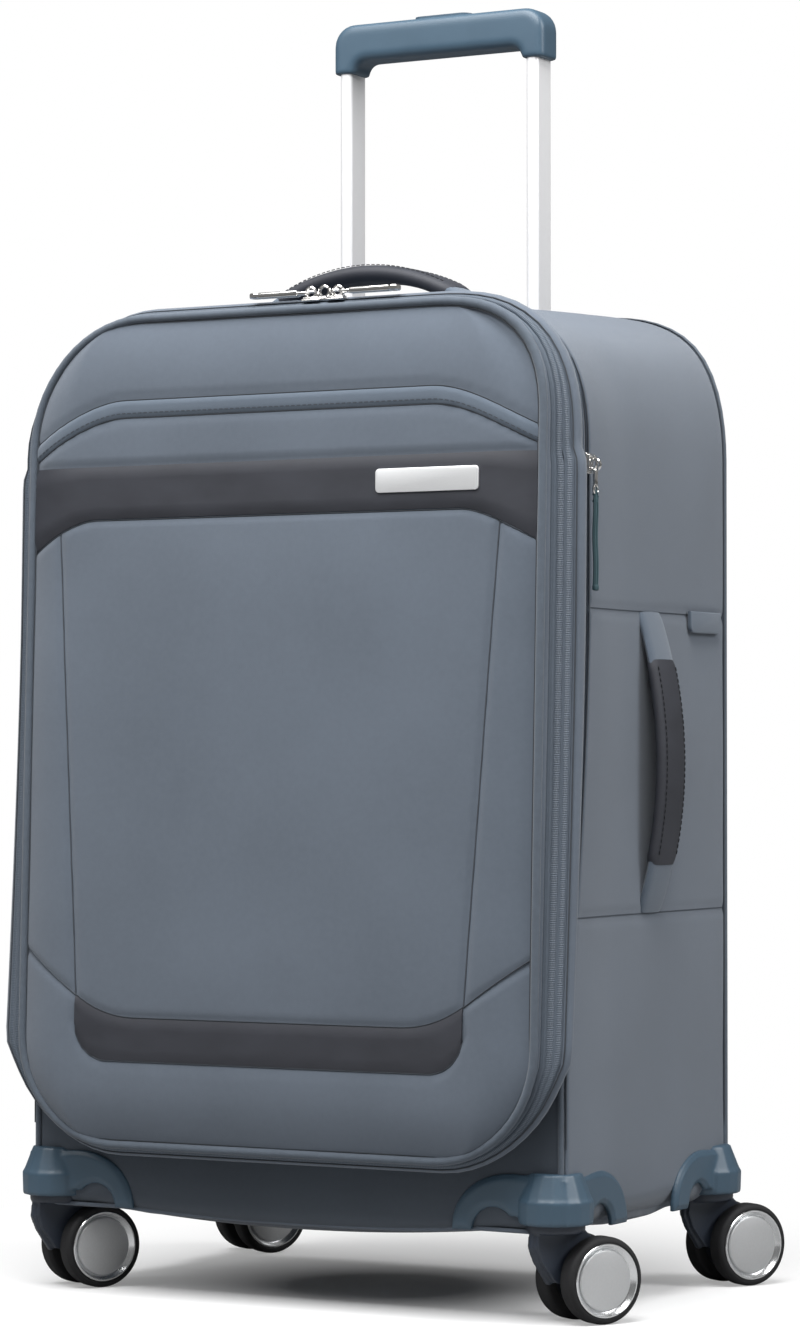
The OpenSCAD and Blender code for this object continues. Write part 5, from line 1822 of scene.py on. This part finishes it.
class SoftSettings(bpy.types.PropertyGroup):
    """Sizes of the padded cloth."""
    lid_rise: FloatProperty(name="Lid rise", description="Most that the lid's cloth rises between its seams",
                            default=8 * MM, min=0, unit="LENGTH")
    side_rise: FloatProperty(name="Side rise", description="Most that the side panels rise",
                             default=4 * MM, min=0, unit="LENGTH")
    back_rise: FloatProperty(name="Back rise", description="Most that the back panel rises",
                             default=4 * MM, min=0, unit="LENGTH")
    pressure: FloatProperty(name="Pressure", description="Pressure that blows the cloth up", default=4.0)


class CasterSettings(bpy.types.PropertyGroup):
    """Sizes of the corner housings."""
    front_wing: FloatProperty(name="Front wing", description="Length of a housing's wing across the front",
                              default=80 * MM, unit="LENGTH")
    side_wing: FloatProperty(name="Side wing", description="Length of a housing's wing along the side",
                             default=88 * MM, unit="LENGTH")


class LookSettings(bpy.types.PropertyGroup):
    """Colours of the main finishes and the studio's light."""
    fabric: FloatVectorProperty(name="Fabric", description="Colour of the shell's weave", subtype="COLOR",
                                default=(0.100, 0.121, 0.152))
    trim: FloatVectorProperty(name="Trim", description="Colour of the trim's weave", subtype="COLOR",
                              default=(0.094, 0.119, 0.153))
    band: FloatVectorProperty(name="Bands", description="Colour of the leather-like bands", subtype="COLOR",
                              default=(0.027, 0.029, 0.037))
    plastic: FloatVectorProperty(name="Plastic", description="Colour of the moulded parts", subtype="COLOR",
                                 default=(0.046, 0.084, 0.122))
    fill: FloatProperty(name="Fill", description="Strength of the surrounding light", default=0.19)
    key: FloatProperty(name="Key", description="Strength of the softboxes", default=1.0)


class Piece:
    """What the operators share: one builder each, fed with a group of settings if it needs one."""
    bl_options = {"REGISTER"}
    settings = None

    def execute(self, context):
        if self.settings is None:
            self.build()
        else:
            self.build(getattr(context.scene, self.settings))
        return {"FINISHED"}


class SUITCASE_OT_materials(Piece, bpy.types.Operator):
    """Make the fabrics, plastics and metals"""
    bl_idname = "suitcase.materials"
    bl_label = "Materials"
    settings = "suitcase_look"
    build = staticmethod(make_materials)


class SUITCASE_OT_stage(Piece, bpy.types.Operator):
    """Make the floor, the light and the camera"""
    bl_idname = "suitcase.stage"
    bl_label = "Stage"
    settings = "suitcase_look"
    build = staticmethod(make_stage)


class SUITCASE_OT_body(Piece, bpy.types.Operator):
    """Make the padded side wrap, the toe panel and their pipings"""
    bl_idname = "suitcase.body"
    bl_label = "Body"
    settings = "suitcase_soft"
    build = staticmethod(make_body)


class SUITCASE_OT_back(Piece, bpy.types.Operator):
    """Make the padded back panel"""
    bl_idname = "suitcase.back"
    bl_label = "Back"
    settings = "suitcase_soft"
    build = staticmethod(make_back)


class SUITCASE_OT_expander(Piece, bpy.types.Operator):
    """Make the expander's tapes, strip and folded cloth"""
    bl_idname = "suitcase.expander"
    bl_label = "Expander"
    build = staticmethod(make_expander)


class SUITCASE_OT_lid_panel(Piece, bpy.types.Operator):
    """Make the padded front of the lid"""
    bl_idname = "suitcase.lid_panel"
    bl_label = "Lid panel"
    settings = "suitcase_soft"
    build = staticmethod(make_lid_panel)


class SUITCASE_OT_lid_trims(Piece, bpy.types.Operator):
    """Make the lid's strip, bands, painted seam shadows and plate"""
    bl_idname = "suitcase.lid_trims"
    bl_label = "Lid trims"
    build = staticmethod(make_lid_trims)


class SUITCASE_OT_lid_frame(Piece, bpy.types.Operator):
    """Make the lid's gusset, piping and zipper"""
    bl_idname = "suitcase.lid_frame"
    bl_label = "Lid frame"
    build = staticmethod(make_lid_frame)


class SUITCASE_OT_carry_handles(Piece, bpy.types.Operator):
    """Make the top and side carry handles"""
    bl_idname = "suitcase.carry_handles"
    bl_label = "Carry handles"
    build = staticmethod(make_carry_handles)


class SUITCASE_OT_grip(Piece, bpy.types.Operator):
    """Make the pull handle's grip and dress its tubes"""
    bl_idname = "suitcase.grip"
    bl_label = "Grip"
    build = staticmethod(make_grip)


class SUITCASE_OT_casters(Piece, bpy.types.Operator):
    """Make the corner housings, forks and wheels"""
    bl_idname = "suitcase.casters"
    bl_label = "Casters"
    settings = "suitcase_casters"
    build = staticmethod(make_casters)


class SUITCASE_OT_sliders(Piece, bpy.types.Operator):
    """Make the zipper sliders and their pulls"""
    bl_idname = "suitcase.sliders"
    bl_label = "Sliders"
    build = staticmethod(make_sliders)


class SUITCASE_OT_inside(Piece, bpy.types.Operator):
    """Make the linings and the packing straps"""
    bl_idname = "suitcase.inside"
    bl_label = "Inside"
    build = staticmethod(make_inside)


GROUPS = {"suitcase_soft": SoftSettings, "suitcase_casters": CasterSettings, "suitcase_look": LookSettings}
OPERATORS = (
    SUITCASE_OT_materials, SUITCASE_OT_stage, SUITCASE_OT_body, SUITCASE_OT_back, SUITCASE_OT_expander,
    SUITCASE_OT_lid_panel, SUITCASE_OT_lid_trims, SUITCASE_OT_lid_frame, SUITCASE_OT_carry_handles,
    SUITCASE_OT_grip, SUITCASE_OT_casters, SUITCASE_OT_sliders, SUITCASE_OT_inside,
)


class SUITCASE_PT_panel(bpy.types.Panel):
    """Sidebar panel with the settings and one button for each piece"""
    bl_label = "Suitcase"
    bl_idname = "SUITCASE_PT_panel"
    bl_space_type = "VIEW_3D"
    bl_region_type = "UI"
    bl_category = "Suitcase"

    def draw(self, context):
        for name, group in GROUPS.items():
            box = self.layout.box()
            for key in group.__annotations__:
                box.prop(getattr(context.scene, name), key)
        for operator in OPERATORS:
            self.layout.operator(operator.bl_idname)


def register():
    """Registers the settings, the operators and the panel."""
    for group in GROUPS.values():
        bpy.utils.register_class(group)
    for name, group in GROUPS.items():
        setattr(bpy.types.Scene, name, PointerProperty(type=group))
    for operator in OPERATORS:
        bpy.utils.register_class(operator)
    bpy.utils.register_class(SUITCASE_PT_panel)


def unregister():
    """Takes all of them away again."""
    bpy.utils.unregister_class(SUITCASE_PT_panel)
    for operator in reversed(OPERATORS):
        bpy.utils.unregister_class(operator)
    for name, group in GROUPS.items():
        delattr(bpy.types.Scene, name)
        bpy.utils.unregister_class(group)


def corners(bounds):
    """A box as two plain lists."""
    return [list(corner) for corner in bounds]


def main():
    """Builds every piece in order."""
    register()
    for operator in OPERATORS:
        family, name = operator.bl_idname.split(".")
        getattr(getattr(bpy.ops, family), name)()
    bpy.context.view_layer.update()
    {"cad": corners(CAD_BOX), "visual": corners(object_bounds())}


if __name__ == "__main__":
    main()
